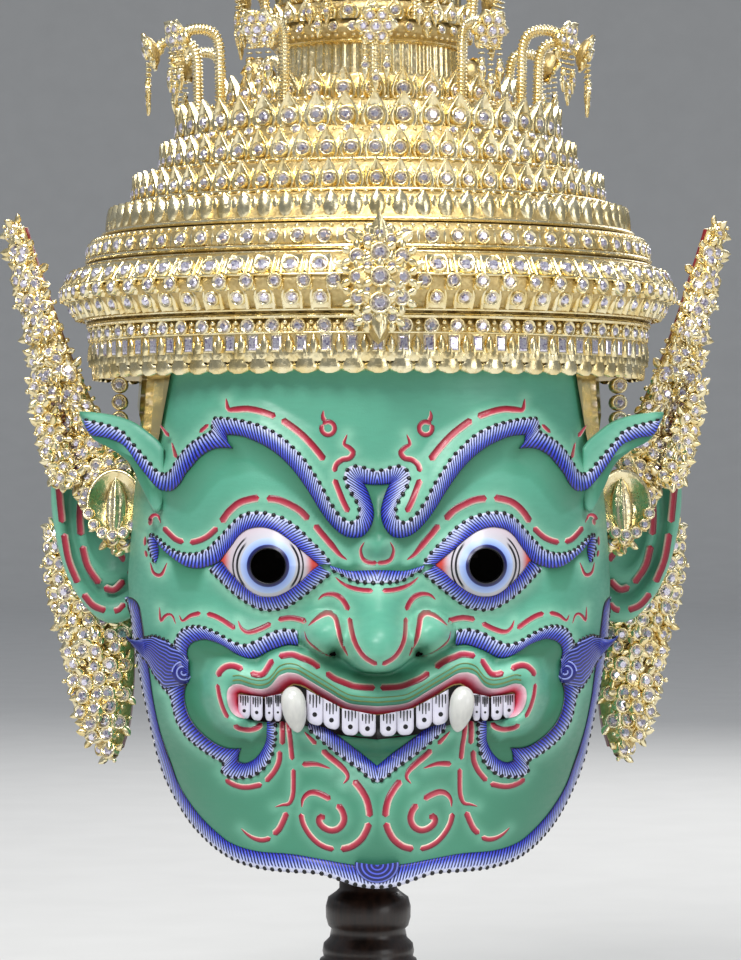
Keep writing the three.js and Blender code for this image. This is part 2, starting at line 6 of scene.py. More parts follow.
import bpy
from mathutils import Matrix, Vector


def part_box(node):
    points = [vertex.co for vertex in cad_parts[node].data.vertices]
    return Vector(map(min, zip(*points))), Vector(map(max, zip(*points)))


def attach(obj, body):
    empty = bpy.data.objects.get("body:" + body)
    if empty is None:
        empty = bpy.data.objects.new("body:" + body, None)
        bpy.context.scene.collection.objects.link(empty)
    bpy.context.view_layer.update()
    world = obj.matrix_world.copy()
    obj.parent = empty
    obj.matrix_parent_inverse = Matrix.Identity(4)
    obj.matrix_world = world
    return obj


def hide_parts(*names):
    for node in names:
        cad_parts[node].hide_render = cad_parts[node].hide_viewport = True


bl_info = {
    "name": "Khon Mask Finish",
    "version": (1, 0, 0),
    "blender": (4, 5, 0),
    "location": "3D View > Sidebar > Khon Mask",
    "description": "Paints, gilds and jewels a crowned khon mask on its stand",
    "category": "Object",
}

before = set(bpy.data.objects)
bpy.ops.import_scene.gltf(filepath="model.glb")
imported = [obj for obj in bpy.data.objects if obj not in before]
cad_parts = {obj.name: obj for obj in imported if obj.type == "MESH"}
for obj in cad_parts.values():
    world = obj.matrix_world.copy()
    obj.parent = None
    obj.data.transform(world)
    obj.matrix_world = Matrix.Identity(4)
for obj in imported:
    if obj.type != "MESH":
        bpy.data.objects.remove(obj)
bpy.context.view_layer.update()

import math

import bpy
import numpy as np
from bpy.props import FloatProperty, FloatVectorProperty, IntProperty, PointerProperty

MM = 0.001
DRAWN_CHIN = 99.0  # the face is drawn with its chin tip at this height


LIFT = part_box("head_shell")[0][2] / MM - DRAWN_CHIN


def srgb(red, green, blue):
    """A colour given in the usual 0 to 255 steps, as linear light."""
    steps = [value / 255 for value in (red, green, blue)]
    return tuple(v / 12.92 if v <= 0.04045 else ((v + 0.055) / 1.055) ** 2.4 for v in steps)


class Wire:
    """A socket whose arithmetic adds Math nodes."""

    def __init__(self, paint, socket):
        self.paint = paint
        self.socket = socket

    def math(self, operation, first, second=0.0):
        return self.paint.node("ShaderNodeMath", {"operation": operation}, {0: first, 1: second})

    def __add__(self, other):
        return self.math("ADD", self, other)

    __radd__ = __add__

    def __sub__(self, other):
        return self.math("SUBTRACT", self, other)

    def __rsub__(self, other):
        return self.math("SUBTRACT", other, self)

    def __mul__(self, other):
        return self.math("MULTIPLY", self, other)

    def __truediv__(self, other):
        return self.math("DIVIDE", self, other)

    def __rtruediv__(self, other):
        return self.math("DIVIDE", other, self)

    def __mod__(self, other):
        return self.math("FLOORED_MODULO", self, other)

    def __abs__(self):
        return self.math("ABSOLUTE", self)


class Paint:
    """A material and the nodes that vary it."""

    def __init__(self, name, **constants):
        self.material = bpy.data.materials.new(name)
        self.material.use_nodes = True
        self.tree = self.material.node_tree
        self.shader = self.tree.nodes["Principled BSDF"]
        for key, value in constants.items():
            socket = self.shader.inputs[key.replace("_", " ")]
            socket.default_value = (*value, 1) if isinstance(value, tuple) and len(value) == 3 else value

    def node(self, kind, settings=None, inputs=None, output=0):
        made = self.tree.nodes.new(kind)
        for key, value in (settings or {}).items():
            if key == "stops":
                ramp = made.color_ramp
                while len(ramp.elements) < len(value):
                    ramp.elements.new(0.5)
                for element, (place, colour) in zip(ramp.elements, value):
                    element.position = place
                    element.color = (*colour, 1)
            else:
                setattr(made, key, value)
        for key, value in (inputs or {}).items():
            if isinstance(value, Wire):
                self.tree.links.new(value.socket, made.inputs[key])
            elif isinstance(value, tuple) and len(value) == 3 and made.inputs[key].type == "RGBA":
                made.inputs[key].default_value = (*value, 1)
            else:
                made.inputs[key].default_value = value
        return Wire(self, made.outputs[output])

    def mix(self, factor, first, second):
        return self.node("ShaderNodeMix", {"data_type": "RGBA"}, {0: factor, 6: first, 7: second}, 2)

    def step(self, value, low, high):
        return self.node("ShaderNodeMapRange", {"interpolation_type": "SMOOTHSTEP"},
                         {"Value": value, "From Min": low, "From Max": high})

    def place(self, scale=1.0):
        """Object position in millimetres times a scale."""
        at = self.node("ShaderNodeTexCoord", output=3)
        return self.node("ShaderNodeVectorMath", {"operation": "SCALE"}, {0: at, "Scale": scale / MM})

    def noise(self, size, detail=3.0, stretch=None):
        """Noise whose features are about this many millimetres across."""
        at = self.place(1.0 / size)
        if stretch:
            at = self.node("ShaderNodeVectorMath", {"operation": "MULTIPLY"}, {0: at, 1: stretch})
        return self.node("ShaderNodeTexNoise", None, {"Vector": at, "Scale": 1.0, "Detail": detail})

    def map(self, layer):
        """The two numbers of a UV layer."""
        at = self.node("ShaderNodeUVMap", {"uv_map": layer})
        split = self.node("ShaderNodeSeparateXYZ", None, {0: at})
        return split, Wire(self, split.socket.node.outputs[1])

    def ramp(self, factor, stops):
        return self.node("ShaderNodeValToRGB", {"stops": stops}, {0: factor})

    def set(self, **links):
        for key, wire in links.items():
            self.tree.links.new(wire.socket, self.shader.inputs[key.replace("_", " ")])
        return self

    def bump(self, height, depth):
        """Raises the surface by up to depth millimetres."""
        return self.set(Normal=self.node("ShaderNodeBump", None, {"Height": height, "Distance": depth * MM}))

    def mottle(self, first, second, *noise):
        """Colours the surface between two colours by a noise, which is returned."""
        cloud = self.noise(*noise)
        self.set(Base_Color=self.mix(cloud, first, second))
        return cloud


MIRRORED = np.array([-1.0, 1.0, 1.0])


def turned_over(faces):
    """The same faces looking the other way."""
    return [face[::-1] for face in faces]


class Build:
    """Collects points and faces in millimetres and makes one object of them."""

    def __init__(self):
        self.points, self.faces, self.looks, self.smooth, self.maps = [], [], [], [], {}
        self.count = 0

    def add(self, points, faces, look=0, smooth=True, **maps):
        points = np.asarray(points, float).reshape(-1, 3)
        self.faces += [[i + self.count for i in face] for face in faces]
        self.points.append(points)
        self.looks += [look] * len(faces)
        self.smooth += [smooth] * len(faces)
        for name, values in maps.items():
            layer = self.maps.setdefault(name, [])
            missing = self.count - sum(len(part) for part in layer)
            layer.append(np.zeros((missing, 2)))
            layer.append(np.asarray(values, float).reshape(-1, 2))
        self.count += len(points)

    def both_sides(self, points, faces, look=0, **maps):
        """Adds a form drawn on the +X side, and its mirror image."""
        points = np.asarray(points, float).reshape(-1, 3)
        self.add(points, faces, look, **maps)
        self.add(points * MIRRORED, turned_over(faces), look, **maps)

    def make_pair(self, name, paints, node):
        """Makes what was drawn on the +X side as the right piece, and its mirror image as the left one."""
        for where in ("right", "left"):
            one = Build()
            if where == "right":
                one.add(np.concatenate(self.points), self.faces)
            else:
                one.add(np.concatenate(self.points) * MIRRORED, turned_over(self.faces))
            one.looks, one.smooth, one.maps = self.looks, self.smooth, self.maps
            one.make(name.format(where), paints, [node.format(where)])

    def make(self, name, paints, replaces=(), lift=True):
        points = np.concatenate(self.points)
        if lift:
            points = points + (0, 0, LIFT)
        mesh = bpy.data.meshes.new(name)
        mesh.from_pydata((points * MM).tolist(), [], self.faces)
        for paint in paints:
            mesh.materials.append(paint.material)
        mesh.polygons.foreach_set("material_index", self.looks)
        mesh.polygons.foreach_set("use_smooth", self.smooth)
        corners = np.empty(len(mesh.loops), int)
        mesh.loops.foreach_get("vertex_index", corners)
        for layer, parts in self.maps.items():
            values = np.concatenate(parts)
            values = np.vstack([values, np.zeros((self.count - len(values), 2))])
            made = mesh.uv_layers.new(name=layer)
            made.data.foreach_set("uv", values[corners].astype(np.float32).ravel())
        piece = bpy.data.objects.new(name, mesh)
        bpy.context.scene.collection.objects.link(piece)
        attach(piece, "root")
        if replaces:
            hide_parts(*replaces)
        return piece


def strip_faces(rows, columns, closed=False):
    """Faces of a grid of points, row after row."""
    faces = []
    for row in range(rows - 1):
        for column in range(columns if closed else columns - 1):
            a = row * columns + column
            b = row * columns + (column + 1) % columns
            faces.append((a, b, b + columns, a + columns))
    return faces


def joined(*parts):
    """Numbers or grids put side by side, as the coordinates of points."""
    return np.stack(np.broadcast_arrays(*parts), -1)


def circle(count):
    """Angles of evenly spaced places round a circle."""
    return np.linspace(0, 2 * math.pi, count, endpoint=False)


def unit(vectors):
    """The same directions with length one."""
    return vectors / np.linalg.norm(vectors, axis=-1, keepdims=True)


def directions(path):
    """Directions along a path, one at each of its points."""
    return unit(np.gradient(path, axis=0))


def smooth_step(low, high, value):
    """0 below low, 1 above high and an even slope between them."""
    t = np.clip((value - low) / (high - low), 0, 1)
    return t * t * (3 - 2 * t)


def between(pairs, at):
    """Reads off a list of places and values, straight between its entries."""
    places, values = zip(*pairs)
    return np.interp(at, places, values)


def hill(u):
    """1 in the middle, 0 from u = 1 outwards."""
    return np.where(u < 1, (1 - np.minimum(u, 1) ** 2) ** 2, 0.0)


def distance_to(line, x, z):
    """Distance from points of the face to a drawn line."""
    best = np.full(np.shape(x), 1e9)
    for (ax, az), (bx, bz) in zip(line[:-1], line[1:]):
        length = max((bx - ax) ** 2 + (bz - az) ** 2, 1e-9)
        t = np.clip(((x - ax) * (bx - ax) + (z - az) * (bz - az)) / length, 0, 1)
        best = np.minimum(best, np.hypot(x - ax - t * (bx - ax), z - az - t * (bz - az)))
    return best


# Plain head: half width by height, and how square its section is
HEAD_HALF_WIDTH = 107.0
FACE_DEPTH = 112.0
NAPE_DEPTH = 106.0
FACE_ROUNDNESS = 2.4
NAPE_ROUNDNESS = 2.1
CROWN_EDGE = 315.0
DOME_HEIGHT = 58.0
SHELL_WALL = 4.5
SIDE_SETBACK = 4.0
WIDTH_SHARES = [(90, 0.75), (118, 0.82), (130, 0.86), (150, 0.925), (175, 0.972), (200, 1.0),
                (225, 1.005), (250, 0.99), (280, 0.963), (320, 0.935)]
RIM_HEIGHTS = [(0, 99), (0.07, 99.8), (0.163, 102), (0.3, 105), (0.51, 105.5), (0.68, 108),
               (0.795, 113.7), (0.86, 119.5), (0.889, 124), (0.92, 129), (0.94, 131)]
FRINGE_SHARES = [(131, 0.92), (146, 0.935), (174, 0.945), (190, 0.955), (203, 0.964), (217, 0.99)]
DOME_SHARES = [(0, 1), (0.4, 0.95), (0.75, 0.78), (0.93, 0.48), (1, 0.16)]

# Carving: x and z of the middle, reach in x and z, rise
SWELLINGS = [(58, 265, 46, 26, 5), (45.5, 233, 28, 23, 11), (66, 200, 34, 22, 6), (71, 167, 24, 22, 6),
             (0, 131, 40, 26, 6), (0, 240.5, 7.5, 7.5, 4.5), (0, 158, 19, 9, -3.5), (62, 181, 16, 12, 2.5)]
BROW_LINE = [(6, 251), (20, 262), (33, 280), (50, 290), (64, 290), (75, 282), (88, 268), (97, 275)]
UPPER_LIP_LINE = [(0, 179), (12, 180.5), (22, 186), (31, 190.5), (38, 191), (43.5, 187), (49, 184.5),
                  (57, 187), (63, 185.5), (65, 179), (61, 171)]
MOUTH_LINE = [(0, 167), (15, 168), (30, 173), (38, 175), (50, 173), (58, 174)]
LOWER_LIP_LINE = [(0, 159), (20, 162), (40, 164), (56, 166)]
RIDGES = [(BROW_LINE, 14, 6), (UPPER_LIP_LINE, 10, 11), (MOUTH_LINE, 6.5, -4), (LOWER_LIP_LINE, 7, 5)]
NOSE_RISE = [(187, 8), (190, 20), (193, 27), (197, 30), (203, 27.5), (211, 20), (220, 11), (228, 4.5),
             (236, 0)]
NOSE_REACH = [(187, 20), (191, 25), (197, 27), (203, 25), (211, 20), (220, 16), (236, 10)]
NOSE_TIP = (0, 201.5, 15.8, 13.8, 31)
NOSE_WING = (21.5, 205, 10.6, 9.6, 22)
NOSTRIL = (17.6, 197.6, 4.4, 3.4, -12)
NOSE_FLOOR = [(0, 187.6), (5, 188), (9.5, 190.2), (13, 193.2), (16.5, 195), (22, 195.4), (28, 198), (34, 203)]
NOSE_FLOOR_BLEND = 3.0
EYE = (45.5, 233.3)
IRIS_EDGE = 7.3  # the painted iris begins at the pierced pupil
EYE_HOLE = 12.5
LINING_HOLE = 11.0
LINING_CARVING = 0.4  # how much of the carving shows on the inside
NAPE_RIM = 131.0
NAPE_COLUMNS = 60
SETBACK_END = (211, 227)  # the sides stand back below these heights
DOME_STEPS = np.array([0.2, 0.4, 0.6, 0.75, 0.85, 0.93, 1.0])


def hill_at(form, x, z):
    cx, cz, rx, rz, rise = form
    return rise * hill(np.hypot((x - cx) / rx, (z - cz) / rz))


def dome_at(form, x, z):
    """A bulb with steep sides."""
    cx, cz, rx, rz, rise = form
    u = np.minimum(np.hypot((x - cx) / rx, (z - cz) / rz), 1)
    return rise * (1 - u ** 2.8) ** 0.75


def carving(x, z):
    """How far the carving stands out from the plain head, towards the viewer."""
    x = np.abs(np.asarray(x, float))
    z = np.asarray(z, float)
    rise = sum(hill_at(form, x, z) for form in SWELLINGS)
    rise = rise + sum(height * hill(distance_to(line, x, z) / reach) for line, reach, height in RIDGES)
    bridge = between(NOSE_RISE, z) * hill(x / between(NOSE_REACH, z))
    tip = dome_at(NOSE_TIP, x, z)
    wing = dome_at(NOSE_WING, x, z)
    nose = (bridge ** 5 + tip ** 5 + wing ** 5) ** 0.2
    floor = between(NOSE_FLOOR, x)
    nose = nose * smooth_step(floor, floor + NOSE_FLOOR_BLEND, z)
    return rise + nose + hill_at(NOSTRIL, x, z)


def lining_carving(x, z):
    return carving(x, z) * LINING_CARVING


def width_at(z):
    return HEAD_HALF_WIDTH * between(WIDTH_SHARES, z)


# The free tips of the brow: a flat plate that leans back from its root
WING_ROOT = 92.0
WING_HEIGHT = 267.0
WING_LEAN = 0.45
WING_FRONT = -2.0
WING_FROM = (86.0, 252.0)


def plain_y(x, z):
    share = np.clip(np.abs(x) / width_at(z), 0, 0.9999)
    return -FACE_DEPTH * (1 - share ** FACE_ROUNDNESS) ** (1 / FACE_ROUNDNESS)


def face_y(x, z):
    """Depth of the painted surface, with the brow's free tips."""
    x = np.asarray(x, float)
    z = np.asarray(z, float)
    skin = plain_y(x, z) - carving(x, z)
    root = plain_y(WING_ROOT, WING_HEIGHT) - carving(WING_ROOT, WING_HEIGHT) + WING_FRONT
    wing = root + WING_LEAN * (np.abs(x) - WING_ROOT)
    on_wing = (np.abs(x) > WING_FROM[0]) & (z > WING_FROM[1])
    return np.where(on_wing, np.minimum(skin, wing), skin)


def head_point(angle, z, grow, carve):
    """Points of the head shell at angles from the middle of the face and heights."""
    side = np.sin(angle)
    share = np.minimum(np.abs(side), 1)
    front = np.cos(angle) > 0
    roundness = np.where(front, FACE_ROUNDNESS, NAPE_ROUNDNESS)
    depth = np.where(front, FACE_DEPTH, NAPE_DEPTH)
    shrink = np.where(z > CROWN_EDGE, between(DOME_SHARES, (z - CROWN_EDGE) / DOME_HEIGHT), 1.0)
    fringe = between(FRINGE_SHARES, z)
    behind = np.where(front, smooth_step(fringe, fringe + 0.02, share), 1.0)
    inset = SIDE_SETBACK * behind * (1 - smooth_step(*SETBACK_END, z))
    half = width_at(z) - inset
    along = (1 - share ** roundness) ** (1 / roundness)
    y = np.where(front, -1, 1) * (depth + grow - np.where(front, 0, inset)) * shrink * along
    rise = np.where(front & (z <= CROWN_EDGE), carve(half * side, z) * smooth_step(0, 0.3, along), 0)
    return joined((half + grow) * shrink * side, y - rise, z)


def rim_height(angle):
    rim = between(RIM_HEIGHTS, np.abs(np.sin(angle)))
    return np.where(np.cos(angle) < 0, NAPE_RIM, np.minimum(rim, NAPE_RIM))


def head_rows(front_columns, back_columns, rows, grow, carve):
    side = np.linspace(-1, 1, front_columns + 1)
    front = np.sign(side) * np.abs(side) ** 1.08 * math.pi / 2
    back = math.pi / 2 + np.arange(1, back_columns) / back_columns * math.pi
    angle = np.concatenate([front, back])
    low = rim_height(angle)
    share = np.linspace(0, 1, rows + 1)[:, None]
    heights = low + (CROWN_EDGE - low) * share
    dome = CROWN_EDGE + DOME_STEPS[:, None] * (DOME_HEIGHT + min(grow, 0))
    z = np.vstack([heights, np.repeat(dome, len(angle), 1)])
    return head_point(np.broadcast_to(angle, z.shape), z, grow, carve)


def curve_through(points):
    """Dense points on a smooth curve through the given ones."""
    points = np.asarray(points, float)
    if len(points) < 3:
        return points
    ends = np.vstack([2 * points[0] - points[1], points, 2 * points[-1] - points[-2]])
    t = np.linspace(0, 1, 10, endpoint=False)[:, None]
    parts = []
    for a, b, c, d in zip(ends[:-3], ends[1:-2], ends[2:-1], ends[3:]):
        parts.append(0.5 * (2 * b + (c - a) * t + (2 * a - 5 * b + 4 * c - d) * t ** 2
                            + (3 * b - a - 3 * c + d) * t ** 3))
    return np.vstack(parts + [points[-1:]])


def lengths_along(points):
    return np.concatenate([[0], np.cumsum(np.linalg.norm(np.diff(points, axis=0), axis=1))])


def spaced(points, count):
    """The same curve with evenly spaced points."""
    along = lengths_along(points)
    at = np.linspace(0, along[-1], count)
    return np.stack([np.interp(at, along, points[:, k]) for k in range(points.shape[1])], -1)


# Blue bands: each section pairs a stretch of the dotted edge with a stretch of the dark edge.
# Points are distance from the middle of the face and height; the list runs along one half.
BROW_BAND = [
    ([(125.4, 295), (119.8, 294.1), (113.7, 292.7), (108.1, 290.2), (104.9, 286.5), (100.4, 281.5),
      (95.9, 276.5), (93.9, 274), (91.6, 272.5), (89.4, 271.8)],
     [(125.4, 296), (123.3, 290.4), (120.8, 288), (116.4, 287.4), (112.4, 286.3), (106.9, 283.4),
      (101.4, 276), (98.1, 271.7), (94.9, 267.8), (91.6, 264.8), (88.4, 264)]),
    ([(89.4, 271.8), (87.1, 273.3), (85.7, 275.8), (84.4, 278), (80.4, 283), (75.8, 286.5), (71.2, 289),
      (69.2, 290.5)],
     [(88.4, 264), (85.6, 264.5), (82.4, 267.5), (80, 271.5), (77.4, 274.5), (74.4, 278), (71.4, 280.3),
      (67.7, 282), (63.7, 282.3), (59.9, 282)]),
    ([(69.2, 290.5), (69.4, 293.5), (68.2, 295.6)], [(59.9, 282), (61.9, 284.5), (62.6, 287.8)]),
    ([(68.2, 295.6), (61.8, 295.1), (55.2, 293.9), (48.1, 291.9), (41.4, 288.5), (35.9, 283.8),
      (30.8, 278.5), (27, 272.9), (23.5, 267.3), (20.5, 261.2), (18.5, 258.2), (16.4, 255.1), (13.7, 252.7),
      (10.6, 251.6)],
     [(62.6, 287.8), (56.5, 287.2), (51.4, 285.3), (46.4, 282.8), (41.3, 279.2), (36.2, 274.2), (32.2, 269.1),
      (28.1, 263), (24.6, 257.2), (21, 252.1), (17, 247.8), (13.5, 245.5), (9.7, 244.6)]),
    ([(10.6, 251.6), (8.2, 253.8), (7.7, 257.1), (8.8, 260.3), (10.9, 263.2), (12.6, 265.8), (13.9, 268.8),
      (13.9, 271.7)],
     [(9.7, 244.6), (6.2, 245.3), (3.4, 248.1), (1.6, 252.1), (1.2, 256.2), (2.1, 260.2), (3.5, 264.3),
      (5.1, 267.3)]),
    ([(13.9, 271.7), (12.3, 274.3), (9.5, 275.3), (7, 275.1)], [(5.1, 267.3), (5, 267.25), (4.9, 267.2)]),
    ([(7, 275.1), (3.4, 273.9), (0, 273)], [(4.9, 267.2), (2.4, 266.9), (0, 266.9)]),
]
EYE_BAND = [
    ([(95.6, 245.5), (92.3, 244), (90.1, 242), (87.3, 240), (84.6, 238.8), (81.9, 238.1), (79.6, 237.9),
      (76.1, 238.2), (73.6, 239), (71.3, 240.1), (69.1, 242.4)],
     [(95.2, 245), (90.7, 239.5), (86.4, 236), (82.9, 233.6), (79.4, 232), (74.9, 231.5), (70.4, 232.4),
      (66.1, 234), (65.3, 235)]),
    ([(69.1, 242.4), (66.4, 244.9), (63.4, 248.2), (59.7, 252.1), (57.4, 254.1), (54.6, 255.4), (51.8, 255.8),
      (49, 255.9), (45.9, 255.5), (39.7, 253.8), (36.6, 252), (33.5, 249.9), (30.7, 247.4), (28.1, 244.6),
      (25.7, 242.3), (23.2, 239.8), (21.3, 237.6), (19.1, 234)],
     [(65.3, 235), (63.1, 238), (60.5, 241.5), (57.7, 245.4), (54.3, 248), (49.8, 249.1), (45.9, 248.8),
      (41.9, 247.4), (38, 244.8), (34.6, 242), (31.3, 239.3), (27.9, 236.5), (24.5, 233.7)]),
]
CURL_BAND = [
    ([(95.4, 246.2), (97.2, 243.6), (97, 239.6), (95.8, 236.2), (94, 233.4)],
     [(94.4, 244), (92.6, 241.6), (92, 239), (92.4, 236.2), (93.4, 233.6)]),
]
LOWER_LID_BAND = [
    ([(70.8, 231.3), (66.8, 227.5), (62.2, 223), (57.4, 219.1), (51.8, 215.8), (49, 214.6), (45.6, 214.1),
      (42.2, 214.4), (39.1, 215), (36, 216.4), (30.1, 220.6), (24, 225.6), (18.9, 230)],
     [(64.7, 235), (61.6, 230.9), (58.8, 228.1), (56, 225.3), (52.6, 222.5), (49.2, 220.8), (45.9, 220.4),
      (41.9, 220.8), (38, 222.5), (34.6, 224.8), (31.3, 227.5), (27.9, 230.9), (24.5, 233.5)]),
]
BRIDGE_BAND = [
    ([(19.4, 231.8), (17, 230.6), (14.9, 229.5), (11, 227.1), (6.6, 226.2), (0, 225.9)],
     [(19.6, 233.4), (16.5, 232.4), (11.8, 231.2), (6, 231.4), (0, 231.6)]),
]
MOUSTACHE_BAND = [
    ([(33.3, 206.2), (38.9, 206.8), (45, 205.1), (50.6, 202), (55.7, 200.2), (61.4, 201.9), (67.3, 205),
      (73, 207.2), (78.5, 207.3), (82.7, 205.2), (85.1, 201), (85.8, 199)],
     [(33, 199.6), (37.4, 200), (44.5, 197.6), (51.1, 194.4), (57.8, 195.7), (65, 199.8), (71.2, 201.7),
      (74.8, 201.2), (77.4, 200), (79, 198), (79.5, 195.5), (79, 193)]),
]
JOWL_BAND = [
    ([(90, 179), (87.6, 176.5), (86.8, 173.5), (86, 170.4), (85, 166.7), (83.1, 163.3), (80.7, 160.2),
      (78, 157.7), (75.1, 155.6), (71.9, 153.5), (68.8, 151.7), (65.7, 150.1), (64.2, 149.7)],
     [(79.6, 182.4), (80.5, 179.3), (80.5, 175.8), (79.8, 172.4), (78.5, 169), (76.4, 165.6), (73.2, 162.3),
      (69.6, 159.5), (65.5, 157.2), (61.4, 156.2), (56.5, 156.4)]),
    ([(64.2, 149.7), (65.2, 147.5), (65.4, 145.5)], [(56.5, 156.4), (57.4, 153.9), (57.8, 150.8)]),
    ([(65.4, 145.5), (63.2, 143.8), (60.6, 143.1), (57.5, 143.2), (52.2, 144.1), (49.6, 145.7), (47.3, 147.7),
      (45.3, 150.2), (43.9, 153), (42.9, 156.4), (42.5, 159.6), (42.2, 163), (42.2, 168)],
     [(57.8, 150.8), (55.2, 150.2), (52.2, 151.3), (49.6, 153.7), (47.6, 156.8), (46.3, 160.3), (46.1, 164.2),
      (46, 168)]),
]
BEARD_BAND = [
    ([(28.6, 165.2), (26.4, 163.2), (23.7, 160.7), (21, 158.2), (18.5, 155.8), (15.5, 153.3), (12.6, 151.3),
      (9.6, 149.4), (6.7, 147.4), (3.8, 144.9), (0, 142.8)],
     [(29, 169), (24.5, 168.4), (19, 164.6), (14.1, 161.2), (9.2, 157.2), (4.2, 153.3), (0, 150)]),
]
FRINGE_BAND = [
    ([(109, 216.5), (107.2, 213), (105.6, 210), (105, 206), (104.4, 200), (100, 178), (98.3, 170.3),
      (96, 160), (93, 148), (90.5, 140.5), (87.8, 135.2), (83.2, 127.5), (78, 120.8), (72.2, 115.5),
      (66, 111.2),
      (58.2, 107.6), (48, 105.6), (38, 105), (25.1, 104.6), (17.5, 102.6), (9.8, 100), (4, 98.9), (0, 98.6)],
     [(109, 216.5), (105.4, 217.6), (102.9, 216.8), (101.2, 214.8), (99.8, 209.5), (96.4, 187), (94.6, 174),
      (91.7, 161), (87, 148), (84.3, 140.2), (81.6, 135), (78, 130), (73.4, 124.8), (66.6, 119),
      (60.2, 115.2),
      (50.2, 113), (36, 112.6), (24, 110.9), (14.6, 109.3), (7, 108.4), (0, 108.4)]),
]
SHADED_BANDS = (BROW_BAND, EYE_BAND, LOWER_LID_BAND, BRIDGE_BAND, MOUSTACHE_BAND, JOWL_BAND, BEARD_BAND)
LEAF = ([(79, 193), (81.5, 196.6), (85.8, 199), (88.4, 201), (94, 202.3), (97, 201.4), (102.9, 199.8),
         (106.6, 201.5)],
        [(79.6, 182.4), (84.5, 180), (90, 179), (92.2, 181.6), (94.2, 184), (97.2, 189.5), (99.4, 191.7),
         (106.6, 201.5)])
BOSS = (81.2, 187.6, 5.2)

# Lips and mouth: the lip's inner and outer edges, and the slot behind the teeth, painted black as the mouth's
# shadow and as the outline round the teeth
LIP = [
    ([(0, 170.9), (3.2, 171.3), (10, 172.3), (15, 174), (20, 176.5), (24.9, 179.2), (28.8, 181.9),
      (31.7, 183.3),
      (34.7, 183.8)],
     [(0, 175.2), (10, 176), (15, 177.9), (20, 180.9), (24.9, 183.8), (30, 186.8), (33.7, 188.8),
      (37.6, 189.2)]),
    ([(34.7, 183.8), (37.1, 182.4), (39.6, 179.9), (42.6, 178.2), (45.5, 177.8), (49.9, 177.9), (53.4, 178.7),
      (56.6, 179.6)],
     [(37.6, 189.2), (41.1, 187.8), (43.5, 184.8), (45.5, 182.9), (48.5, 182.1), (52.4, 182.6), (57.3, 184.1),
      (60.2, 183.8)]),
    ([(56.6, 179.6), (57.8, 178.9), (56.6, 175.6), (55.3, 172.5)],
     [(60.2, 183.8), (62.2, 181.9), (62.8, 178.9), (62.2, 175), (60.7, 172), (58.3, 170.1), (54.8, 169.1)]),
]
MOUTH_OUTLINE_AND_SHADOW = [
    ([(0, 171.4), (10, 172.8), (20, 177), (28.8, 182.4), (34.7, 184.2), (39.6, 180.3), (45.5, 178.2),
      (53.4, 179.2),
      (58, 179.2)],
     [(0, 160.8), (10, 162), (20, 163.8), (29, 166.4), (34, 167.4), (39.6, 167.4), (46, 167.8), (52, 168.4),
      (57, 170.4)]),
]

